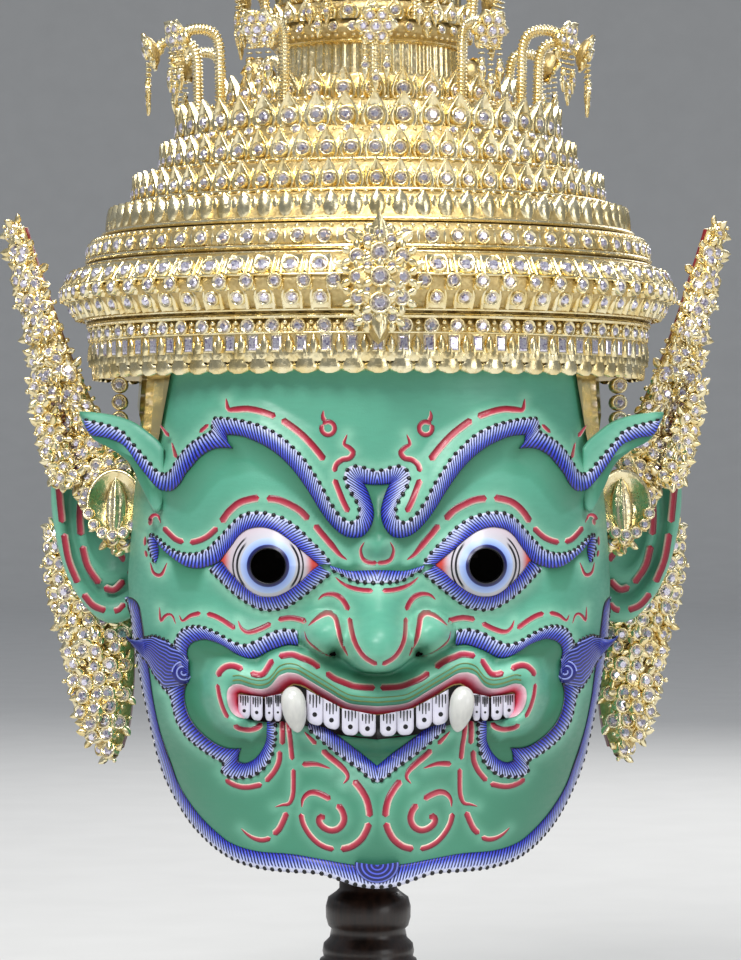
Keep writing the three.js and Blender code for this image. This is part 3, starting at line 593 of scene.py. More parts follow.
# Red strokes: points, width and the form of the two ends, < or > for a point and | for a cut.
# Both ends are cut where no form is given.
STROKES = [
    ([(63.1, 303.3), (62.1, 298.8), (59, 298.6), (54, 298.8), (48.9, 297.8), (42.3, 295.5)], 2.6, "<|"),
    ([(39.8, 294.2), (36.2, 291.7), (32.2, 288.6), (28.1, 284.6), (24.6, 280.5), (22.1, 277.2)], 2.8),
    ([(12.5, 288), (13.8, 284.1), (11.8, 282.6), (10, 280.5), (11.5, 278.2), (14.6, 277.5), (17.1, 275.4),
      (18, 272.4)],
     2.2, "<|"),
    ([(18, 269.4), (16.4, 265.3), (14.4, 260.2), (12.1, 255.5)], 2.4),
    ([(65.1, 251.1), (61.8, 255.7), (57.7, 259.2), (53.7, 260.7), (49.1, 261.6)], 2.8),
    ([(46.1, 261.3), (41, 260.6), (35.9, 258.4), (31.9, 255.9), (28.6, 252.4)], 2.8),
    ([(26.1, 250.3), (23.3, 246.8), (19.2, 242), (15.7, 237.9), (12.6, 235.7)], 2.6, "|>"),
    ([(66.7, 249), (70.9, 245.3), (74.7, 243.4), (78.6, 242.4)], 2.4),
    ([(81.1, 242.6), (84.6, 243.8), (88.1, 246.8), (90.1, 248.9)], 2.4),
    ([(96.4, 249.4), (95, 253.4), (92.4, 253.8), (91.4, 250.6)], 1.9, "|>"),
    ([(96, 233.4), (94.4, 229), (91, 228.4), (88.4, 233.6)], 1.9, "<>"),
    ([(98.4, 244.6), (98.6, 240.4)], 1.3),
    ([(98.4, 238.6), (97.6, 235.6)], 1.3),
    ([(91.8, 214.5), (91.3, 208.7), (89.6, 210.5), (87.8, 211.7), (86, 211), (84.6, 207.8)], 1.5, "<>"),
    ([(83.1, 211.5), (81.6, 209.2), (78.2, 211.5), (73.8, 212.8)], 1.9, "<|"),
    ([(71.3, 212.6), (67.8, 211.7), (63.7, 209.6), (59.2, 206.6)], 2.1),
    ([(58, 210), (56.5, 206.8), (53.7, 205.3), (49.2, 206.5), (44.1, 209)], 2.1, "<|"),
    ([(41.3, 210.5), (35.7, 211.3), (29.5, 210)], 2.2),
    ([(91.4, 292.5), (87.6, 287.5)], 1.7, "<|"),
    ([(86.4, 285), (84.4, 278.3)], 1.9, "<|"),
    ([(74.4, 289), (70.4, 292.5)], 1.7),
    ([(5.4, 243.2), (6.9, 240), (6, 236.2), (3.4, 234.6), (0, 234.4)], 1.8, "<|"),
    ([(17.3, 228.4), (14.6, 226), (11.3, 224.3), (7, 223.3), (1.9, 223)], 1.9, "<|"),
    ([(24.5, 219), (22.3, 220.9), (19, 221.4), (16, 220.4), (13.7, 218), (12, 214.7)], 2.2, "<|"),
    ([(11.8, 212), (11.3, 207.5), (10.3, 203.2), (8.4, 199.3), (5.5, 196), (1.0, 193.4)], 2.0),
    ([(28.8, 208.7), (26.1, 211.1), (22.8, 213.2), (19.9, 213.7), (17.7, 212), (16.8, 208.4), (16, 204.6),
      (14.6, 200.3), (12.7, 196.5)], 2.0, "<>"),
    ([(30.4, 206.2), (29.3, 202.7), (26, 199.4), (22.5, 196.7), (19, 195.2)], 1.2, "<>"),
    ([(1, 182.9), (5.7, 183.1), (10, 183.6), (14, 185.1), (18, 186.8), (21.4, 189.2)], 2.4),
    ([(23.9, 191), (27.8, 193.7), (31.7, 195.2), (35.7, 196.4), (41.1, 195.7)], 2.4),
    ([(43.5, 194.4), (45.5, 191.2), (47.5, 188.5), (49.9, 188), (52.9, 188.8)], 2.4),
    ([(55.8, 190.2), (59.8, 191.5), (63.2, 191), (65.7, 188.8), (66.4, 186.6)], 2.4),
    ([(66.7, 183.8), (65.7, 178.4), (64.2, 173.5), (62.2, 169.6)], 1.8),
    ([(59.8, 166.8), (57.3, 165.1), (53.4, 164.4), (49.9, 165.4), (47.9, 167.3)], 2.2),
    ([(30.3, 164.1), (25.4, 158.7)], 2.2, "<|"),
    ([(22.9, 156.3), (20, 153.5), (16, 150.3), (13.1, 147.4), (12.3, 144.9), (14.1, 142.5)], 2.4, "|>"),
    ([(39.5, 168.6), (39.5, 158.2)], 2.2),
    ([(37.2, 168.6), (36.2, 160), (35.4, 151.8)], 2.0),
    ([(40.6, 155.8), (40.9, 151.3), (42.9, 146.9), (46.5, 142.5)], 2.2),
    ([(47.9, 141.3), (54.8, 139.8), (59.8, 140.6), (63.4, 142.6)], 2.2),
    ([(31.3, 150.1), (25.4, 150.3), (19.5, 148.6)], 2.2, "|>"),
    ([(34.9, 148.3), (34.9, 141), (35.2, 137), (36.6, 133.7), (39.4, 133), (42.4, 132)], 1.9, "|>"),
    ([(37.6, 130), (39, 126.5), (40.9, 122.7), (43.3, 120.3)], 2.4),
    ([(44.3, 118.9), (47.2, 117.8), (50.5, 118), (53.8, 119.5), (56.7, 122)], 2.0, "|>"),
    ([(9.9, 143.9), (7, 140.3), (4.7, 136.4), (3.6, 132.1), (3.3, 128.8)], 2.7),
    ([(3.5, 126.6), (4.7, 123), (7, 119.2), (10.9, 116.2), (15.3, 115)], 2.7),
    ([(17.9, 114.9), (21.8, 115.9), (25.6, 118.2), (28.9, 122), (30.9, 125.9), (31.7, 129.7)], 2.2),
    ([(31.3, 132.3), (30.9, 135.5), (28.9, 137.9), (26.1, 138.6), (22.7, 137.6), (19.4, 135.9)], 2.4, "<|"),
    ([(16.7, 134), (14.6, 131.1), (13.9, 127.8), (15.1, 124.9), (17.5, 123.2), (20.3, 123.2), (23, 124.7),
      (24.2, 126.8), (23.4, 128.6), (22, 127.6)], 2.6),
]
RING_MARK = (20.4, 290.6, 2.7)


def length(label, description, millimetres):
    return FloatProperty(name=label, description=description, default=millimetres * MM, unit="LENGTH")


def colour(label, description, *steps):
    return FloatVectorProperty(name=label, description=description, subtype="COLOR", default=srgb(*steps))


class MASK_PG_face(bpy.types.PropertyGroup):
    green: colour("Green", "Painted skin", 90, 166, 139)
    # The shade colour is the airbrushed dark beside the bands and also the painted shade under the nose and
    # towards the jaw
    shade: colour("Shade", "Airbrushed hollows", 26, 100, 64)
    mint: colour("Mint", "Light edge beside the bands", 150, 214, 184)
    mint_reach: length("Mint reach", "Width of the light edge", 2.2)
    shade_reach: length("Shade reach", "Width of the dark edge", 9.0)
    columns: IntProperty(name="Columns", description="Mesh columns across the face", default=224)
    rows: IntProperty(name="Rows", description="Mesh rows from rim to crown", default=224)


class MASK_PG_bands(bpy.types.PropertyGroup):
    rise: length("Rise", "Height of a band above the skin", 1.5)
    dot_pitch: length("Dot pitch", "Distance between dots", 3.7)
    dot_radius: length("Dot radius", "Radius of the black dots", 1.02)
    hatch_pitch: length("Hatch pitch", "Distance between brush strokes", 1.4)
    stroke_rise: length("Stroke rise", "Height of a red stroke", 0.55)


class MASK_PG_stage(bpy.types.PropertyGroup):
    distance: length("Distance", "Camera to the mask's axis", 1600.0)
    height: length("Height", "Camera above the floor", 269.0)
    side: length("Side", "Camera shifted to its right", 1.0)
    turn: FloatProperty(name="Turn", description="Camera angle from straight ahead",
                        default=math.radians(-1.9), unit="ROTATION")
    lens: FloatProperty(name="Lens", description="Focal length in millimetres", default=133.7)


def settings(name):
    return getattr(bpy.context.scene, "mask_" + name)


def skin_paint():
    look = settings("face")
    paint = Paint("green_skin", Roughness=0.42, Specular_IOR_Level=0.45, Coat_Weight=0.12, Coat_Roughness=0.3)
    light, dark = paint.map("shading")
    brushed = paint.noise(3.0, 5.0, (0.5, 0.5, 1.6))
    broad = paint.noise(26.0, 2.0)
    base = paint.mix(paint.step(broad, 0.3, 0.7) * 0.35, tuple(look.green),
                     tuple(v * 1.22 for v in look.green))
    # the dark share mixes in the shade colour: airbrushed beside the bands, painted shade in the hollows and
    # towards the lower face and jaw
    base = paint.mix(dark * 0.8, base, tuple(look.shade))
    base = paint.mix(light * 0.62, base, tuple(look.mint))
    base = paint.mix(paint.step(brushed, 0.35, 0.75) * 0.14, base, tuple(v * 0.7 for v in look.green))
    paint.set(Base_Color=base, Roughness=0.36 + paint.step(brushed, 0.2, 0.8) * 0.14)
    return paint.bump(brushed * 0.6 + paint.noise(0.7, 2.0) * 0.4, 0.12)


def inside_paint():
    paint = Paint("paper_lining", Roughness=0.9, Specular_IOR_Level=0.2)
    return paint.bump(paint.mottle(srgb(14, 11, 10), srgb(26, 21, 18), 5.0, 5.0), 0.5)


def band_paint():
    look = settings("bands")
    paint = Paint("blue_band", Roughness=0.38, Specular_IOR_Level=0.5, Coat_Weight=0.15, Coat_Roughness=0.25)
    along, across = paint.map("band")
    width = paint.map("reach")[0]
    radius = look.dot_radius / MM
    from_edge = across * width
    wobble = paint.noise(2.2, 2.0) - 0.5
    phase = (along + wobble * 0.5) / (look.hatch_pitch / MM) + across * 2.0
    stripe = abs((phase % 1.0) - 0.5) * 2
    lines = paint.step(stripe, 0.36, 0.62)
    fade = paint.ramp(across + wobble * 0.12, [
        (0.12, srgb(216, 222, 254)), (0.4, srgb(174, 188, 252)), (0.62, srgb(94, 112, 240)),
        (0.82, srgb(42, 54, 204)), (0.92, srgb(18, 22, 120)), (1.0, srgb(8, 10, 56))])
    ink = paint.ramp(across, [(0.0, srgb(22, 24, 92)), (0.4, srgb(8, 10, 64)), (1.0, srgb(2, 2, 24))])
    reach = paint.step(from_edge + wobble * 1.4, 1.3, 2.3)
    colour = paint.mix(lines * reach * 0.94, fade, ink)
    colour = paint.mix((1 - paint.step(from_edge, radius * 1.3, radius * 2.2)) * 0.85, colour,
                       srgb(206, 208, 226))
    colour = paint.mix(paint.step(across - 1.0 / width, 0.84, 0.9), colour, srgb(5, 5, 22))
    return paint.set(Base_Color=colour).bump(1 - lines, 0.08)


def leaf_paint():
    paint = Paint("blue_leaf", Roughness=0.38, Coat_Weight=0.15, Coat_Roughness=0.25)
    along, across = paint.map("band")
    wave = across * 13.0 + paint.node("ShaderNodeMath", {"operation": "SINE"}, {0: along * 0.3}) * 0.6
    lines = paint.step(abs((wave % 1.0) - 0.5) * 2, 0.22, 0.5)
    fade = paint.ramp(abs(across - 0.5) * 2, [(0.0, srgb(62, 72, 212)), (0.6, srgb(92, 108, 232)),
                                              (0.86, srgb(136, 150, 242)), (1.0, srgb(206, 208, 226))])
    return paint.set(Base_Color=paint.mix(lines * 0.95, fade, srgb(12, 14, 78))).bump(1 - lines, 0.1)


def stroke_paint():
    paint = Paint("red_stroke", Roughness=0.35, Specular_IOR_Level=0.5, Coat_Weight=0.2, Coat_Roughness=0.2)
    across = paint.map("band")[1]
    wobble = (paint.noise(1.6, 2.0) - 0.5) * 0.12
    colour = paint.ramp(across + wobble, [
        (0.0, srgb(238, 222, 200)), (0.14, srgb(230, 198, 184)), (0.25, srgb(204, 88, 104)),
        (0.48, srgb(178, 40, 64)), (0.72, srgb(150, 26, 48)), (0.86, srgb(104, 20, 38)),
        (0.94, srgb(150, 90, 98)),
        (1.0, srgb(188, 150, 146))])
    return paint.set(Base_Color=colour)


def lip_paint():
    paint = Paint("lip_rouge", Roughness=0.3, Specular_IOR_Level=0.5, Coat_Weight=0.3, Coat_Roughness=0.15)
    across = paint.map("band")[1]
    colour = paint.ramp(across, [
        (0.0, srgb(176, 20, 42)), (0.2, srgb(204, 30, 54)), (0.4, srgb(222, 62, 86)),
        (0.56, srgb(230, 120, 142)),
        (0.74, srgb(232, 168, 184)), (0.92, srgb(214, 184, 190)), (1.0, srgb(140, 190, 160))])
    return paint.set(Base_Color=colour)


def plain_paint(name, colour, roughness=0.4, **constants):
    """A colour that varies slightly, as a brushed coat does."""
    paint = Paint(name, Roughness=roughness, **constants)
    cloud = paint.noise(4.0, 4.0)
    darker = tuple(v * 0.72 for v in colour)
    return paint.set(Base_Color=paint.mix(paint.step(cloud, 0.3, 0.8), colour, darker)).bump(cloud, 0.06)


BAND_STEP = 0.75


def add_band(build, sections, heights, look=0):
    """Lays a band between its two edges on the face, with its length and width maps."""
    dotted, dark, along = [], [], []
    start = 0.0
    for first, second in sections:
        first, second = curve_through(first), curve_through(second)
        count = max(3, int(max(lengths_along(first)[-1], lengths_along(second)[-1]) / BAND_STEP))
        first, second = spaced(first, count), spaced(second, count)
        run = start + lengths_along(first)
        start = run[-1]
        keep = slice(0 if not dotted else 1, None)
        dotted.append(first[keep])
        dark.append(second[keep])
        along.append(run[keep])
    dotted, dark, along = np.vstack(dotted), np.vstack(dark), np.concatenate(along)
    share = np.array([t for t, _ in heights])
    flat = dotted[:, None] * (1 - share[:, None]) + dark[:, None] * share[:, None]
    x, z = flat[..., 0], flat[..., 1]
    lift = np.array([rise for _, rise in heights])
    points = joined(x, face_y(x, z) - lift, z)
    steps = np.linalg.norm(np.diff(points, axis=1), axis=2) * (share[:-1] >= 0)
    across = np.hstack([np.zeros((len(points), 1)), np.cumsum(steps, axis=1)])
    width = across[:, -1:]
    across = np.where(share < 0, 1.0, across / width)
    band = joined(along[:, None], across)
    reach = joined(width, across)
    build.both_sides(points, strip_faces(*points.shape[:2]), look, band=band, reach=reach)
    return points


def rounded(rise, edge=-0.5, steps=9):
    """Cross profile of a raised band: share across and height."""
    shares = np.linspace(0, 1, steps)
    heights = [(0.0, edge), (0.035, rise * 0.45)]
    heights += [(t, rise * (0.6 + 0.4 * math.sin(math.pi * t))) for t in shares[1:-1]]
    return heights + [(0.965, rise * 0.45), (1.0, edge)]


def add_dots(build, grid, column):
    """Round black dots along a band, between two of its columns of points, and their mirror images."""
    bands = settings("bands")
    line = (grid[:, column] + grid[:, column + 1]) / 2
    along = lengths_along(line)
    count = max(2, int(round(along[-1] / (bands.dot_pitch / MM))))
    at = (np.arange(count) + 0.5) / count * along[-1]
    tangent = directions(line)
    out = unit(np.cross(tangent, grid[:, -1] - grid[:, 0]))
    out[out[:, 1] > 0] *= -1
    centre, up, out = (np.stack([np.interp(at, along, v[:, k]) for k in range(3)], -1)
                       for v in (line, tangent, out))
    beside = np.cross(up, out)
    radius = bands.dot_radius / MM
    copies(build, DOT, centre, beside, up, out, radius)
    copies(build, DOT, centre * MIRRORED, -beside * MIRRORED, up * MIRRORED, out * MIRRORED, radius)


STROKE_SPREAD = 1.24  # painted edge beyond the drawn width
STROKE_STEP = 0.8
POINT_LENGTH = 9.0
CUT_LENGTH = 0.7
STROKE_SECTION = [(0, -0.3), (0.06, 0.45), (0.22, 0.85), (0.4, 1.0), (0.6, 1.0), (0.78, 0.85), (0.94, 0.45),
                  (1.0, -0.3)]


def add_stroke(build, points, width, ends, rise, surface=face_y, lit=1):
    """A raised red stroke along a path, with cut or pointed ends."""
    path = curve_through(points)
    length = lengths_along(path)[-1]
    path = spaced(path, max(5, int(length / STROKE_STEP)))
    along = lengths_along(path)
    tangent = directions(path)
    normal = joined(-tangent[:, 1], tangent[:, 0])
    point = min(length, POINT_LENGTH)
    from_start = along / (point if ends[0] == "<" else CUT_LENGTH)
    from_end = (length - along) / (point if ends[1] == ">" else CUT_LENGTH)
    taper = np.sqrt(np.clip(np.minimum(from_start, from_end), 0.02, 1))
    shares, heights = np.array(STROKE_SECTION).T
    offset = (0.5 - shares)[None] * (STROKE_SPREAD * width * taper)[:, None] * lit
    x = path[:, None, 0] + normal[:, None, 0] * offset
    z = path[:, None, 1] + normal[:, None, 1] * offset
    lift = np.where(heights > 0, heights * rise * taper[:, None], heights)
    grid = joined(x, surface(x, z) - lift, z)
    band = joined(along[:, None], shares)
    faces = strip_faces(len(path), len(shares))
    build.both_sides(grid, faces if lit > 0 else turned_over(faces), band=band)


def outline_of(sections, edge):
    """One edge of a band as a plain polyline."""
    return np.vstack([curve_through(section[edge]) for section in sections])[::5]


# Painted shadows under the nose, in the nostrils and under the moustache: x and z of the middle, reach in x
# and z, darkness
PAINTED_SHADOWS = [(19, 197.5, 13, 6, 1.0), (0, 186, 34, 5.5, 0.9), (66, 196, 15, 9, 0.6),
                (0, 187.5, 15, 5, 0.7)]


def painted_shading(x, z):
    """Airbrushed mint and dark beside the bands, with painted shade under the nose, in the nostrils and
    towards the lower face and jaw: two shares from 0 to 1.
    """
    look = settings("face")
    x = np.abs(x)
    mint = np.full(x.shape, 1e9)
    dark = np.full(x.shape, 1e9)
    for band in SHADED_BANDS:
        mint = np.minimum(mint, distance_to(outline_of(band, 0), x, z))
        dark = np.minimum(dark, distance_to(outline_of(band, 1), x, z))
    for stroke in STROKES:
        mint = np.minimum(mint, distance_to(stroke[0], x, z) + 0.2)
    nearer = smooth_step(-2.0, 2.0, mint - dark)
    light = np.exp(-(np.maximum(mint - 1.0, 0) / (look.mint_reach / MM)) ** 1.5) * (1 - nearer)
    shade = np.exp(-dark / (look.shade_reach / MM)) * nearer
    # painted shadows under the nose, in the nostrils and under the moustache
    hollows = sum(hill_at(form, x, z) for form in PAINTED_SHADOWS)
    # painted shade: the lower face and the sides of the jaw are darker, as shade from light falling from
    # above
    lower = smooth_step(192, 140, z)
    jaw = lower * 0.62 + smooth_step(66, 98, x) * smooth_step(215, 180, z) * 0.3
    light = light * (1 - 0.6 * lower)
    return light, np.clip(shade + hollows + jaw * (1 - light), 0, 1)


class MASK_OT_head(bpy.types.Operator):
    """The painted papier-mache head, hollow, with pierced pupils and the brow's free tips"""
    bl_idname = "mask.head"
    bl_label = "Head"

    def execute(self, context):
        look = settings("face")
        grid = head_rows(look.columns, NAPE_COLUMNS, look.rows, 0.0, carving)
        columns = grid.shape[1]
        x, z = grid[..., 0].ravel(), grid[..., 2].ravel()
        front = grid[..., 1].ravel() < 0
        light, dark = painted_shading(x, z)
        shading = joined(light * front, dark * front)
        build = Build()
        build.add(grid, self.pierced(grid, EYE_HOLE), shading=shading)
        self.cap(build, grid[-1])
        inner = head_rows(60, 24, 40, -SHELL_WALL, lining_carving)
        build.add(inner, turned_over(self.pierced(inner, LINING_HOLE)), look=1)
        self.cap(build, inner[-1, ::-1], 1)
        rim = head_rows(look.columns, NAPE_COLUMNS, look.rows, -SHELL_WALL, lining_carving)[0]
        build.add(np.vstack([grid[0], rim]), turned_over(strip_faces(2, columns, True)), look=1)
        build.make("painted_head", [skin_paint(), inside_paint()], ["head_shell"])
        self.brow_tips()
        return {"FINISHED"}

    def pierced(self, grid, radius):
        """Faces of the head with the pupils left open."""
        rows, columns = grid.shape[:2]
        points = grid.reshape(-1, 3)
        open_ = (np.hypot(np.abs(points[:, 0]) - EYE[0], points[:, 2] - EYE[1]) < radius) & (points[:, 1] < 0)
        return [face for face in strip_faces(rows, columns, True) if not all(open_[i] for i in face)]

    def cap(self, build, ring, look=0):
        """Closes the top of the dome."""
        count = len(ring)
        faces = [(i, (i + 1) % count, count) for i in range(count)]
        build.add(np.vstack([ring, [[0, 0, ring[0, 2]]]]), faces, look)

    def brow_tips(self):
        """Plates that carry the brow past the side of the head."""
        outline = [(90, 282.5), (93, 286.2), (99, 291), (104, 294), (112, 296.5), (124, 298), (125.8, 296.5),
                   (120.5, 286.8), (112, 282), (104.5, 276), (100, 267), (96.5, 260), (93, 255.5), (90, 262)]
        edge = spaced(curve_through(outline + outline[:1]), 90)[:-1]
        middle = np.array([96.0, 276.0])
        layers = [(0.0, 0.0), (0.55, 0.0), (0.93, 0.0), (1.0, 0.8), (1.03, 2.6), (1.03, 4.4), (0.95, 6.0),
                  (0.0, 6.0)]
        rings = []
        for share, back in layers:
            flat = middle + (edge - middle) * share
            y = face_y(WING_ROOT, WING_HEIGHT) + WING_LEAN * (flat[:, 0] - WING_ROOT) + back + 0.02
            rings.append(joined(flat[:, 0], y, flat[:, 1]))
        build = Build()
        points = np.array(rings)
        light, dark = painted_shading(points[..., 0], points[..., 2])
        faces = turned_over(strip_faces(len(layers), len(edge), True))
        build.both_sides(points, faces, shading=joined(light, dark))
        build.make("brow_tips", [skin_paint()])


class MASK_OT_bands(bpy.types.Operator):
    """Blue hatched bands with dotted edges round brows, eyes, moustache, beard and jaw"""
    bl_idname = "mask.bands"
    bl_label = "Blue bands"

    def execute(self, context):
        rise = settings("bands").rise / MM
        build = Build()
        for sections in (*SHADED_BANDS, CURL_BAND):
            add_dots(build, add_band(build, sections, rounded(rise)), 1)
        fringe = [(-0.02, -5.0), (-0.02, 0.6), (0.0, 1.9), (0.12, 2.3), (0.35, 2.1), (0.6, 1.7), (0.85, 1.2),
                  (0.96, 0.6), (1.0, -0.4)]
        add_dots(build, add_band(build, FRINGE_BAND, fringe), 2)
        self.leaf(build)
        self.boss(build)
        self.medallion(build)
        paints = [band_paint(), leaf_paint(), plain_paint("boss_blue", srgb(26, 30, 124)),
                  plain_paint("dot_black", srgb(4, 4, 6), 0.3), plain_paint("pale_blue", srgb(150, 162, 232))]
        build.make("blue_bands", paints)
        return {"FINISHED"}

    def leaf(self, build):
        """The blue leaf that runs from the moustache's boss past the side of the face."""
        rows, columns = 34, 13
        first, second = (spaced(curve_through(edge), rows) for edge in LEAF)
        shares = np.linspace(0, 1, columns)
        flat = first[:, None] * (1 - shares[:, None]) + second[:, None] * shares[:, None]
        lift = 0.7 + 1.9 * np.sin(np.pi * shares) ** 0.7
        lift[[0, -1]] = -0.5
        x, z = flat[..., 0], flat[..., 1]
        proud = np.linspace(0, 1, rows)[:, None] ** 2 * 5
        grid = joined(x, np.minimum(face_y(np.minimum(x, 99), z) - lift - proud * (lift > 0), 0), z)
        along = joined(lengths_along(first)[:, None], shares)
        build.both_sides(grid, strip_faces(rows, columns), look=1, band=along)
        for column in (0, columns - 2):
            add_dots(build, grid, column)

    def medallion(self, build):
        """Concentric arcs in the middle of the jaw fringe."""
        turns = np.linspace(math.pi * 0.96, math.pi * 2.04, 40)
        rows, band = [], []
        for share, up in ((0.02, 3.6), (0.4, 3.5), (0.8, 3.1), (0.96, 2.5), (1.0, -2.0)):
            reach = 9.4 * share
            x = reach * np.cos(turns)
            z = 108.8 + reach * np.sin(turns) * 0.86
            rows.append(joined(x, face_y(x, np.maximum(z, 100.5)) - up, z))
            band.append(joined(turns * 0, 0.56 + share * 0.36))
        build.add(np.array(rows), strip_faces(5, 40), 1, band=np.array(band))

    def boss(self, build):
        """The spiral boss at the root of the moustache's leaf."""
        cx, cz, radius = BOSS
        turns = circle(28)
        rings = []
        for share, up in [(1.0, -0.3), (0.97, 1.6), (0.8, 2.6), (0.5, 3.2), (0.2, 3.5), (0.02, 3.6)]:
            x = cx + radius * share * np.cos(turns)
            z = cz + radius * share * np.sin(turns)
            rings.append(joined(x, face_y(cx, cz) - up, z))
        build.both_sides(np.array(rings), strip_faces(len(rings), 28, True), look=2)
        winding = np.linspace(0, 4.2 * math.pi, 90)
        reach = radius * (0.92 - 0.8 * winding / winding[-1])
        rows = []
        for offset, up in [(-0.35, 0.1), (-0.2, 0.45), (0.2, 0.45), (0.35, 0.1)]:
            at = reach + offset
            height = 3.6 - 2.0 * (at / radius) ** 2
            rows.append(joined(cx + at * np.cos(winding), face_y(cx, cz) - height - up,
                               cz + at * np.sin(winding)))
        build.both_sides(np.array(rows), strip_faces(4, 90), look=4)


class MASK_OT_strokes(bpy.types.Operator):
    """Raised red and cream strokes over the face"""
    bl_idname = "mask.strokes"
    bl_label = "Red strokes"

    def execute(self, context):
        rise = settings("bands").stroke_rise / MM
        build = Build()
        for points, width, *ends in STROKES:
            add_stroke(build, points, width, ends[0] if ends else "||", rise)
        cx, cz, radius = RING_MARK
        loop = [(cx + radius * math.cos(a), cz + radius * math.sin(a)) for a in np.linspace(0.6, 6.9, 16)]
        add_stroke(build, loop, 1.9, "||", rise)
        add_stroke(build, [(cx + 1.2, cz + 2.6), (cx + 2.2, cz + 5), (cx + 1.9, cz + 7.4)], 2.2, "|>", rise)
        build.make("red_strokes", [stroke_paint()])
        return {"FINISHED"}


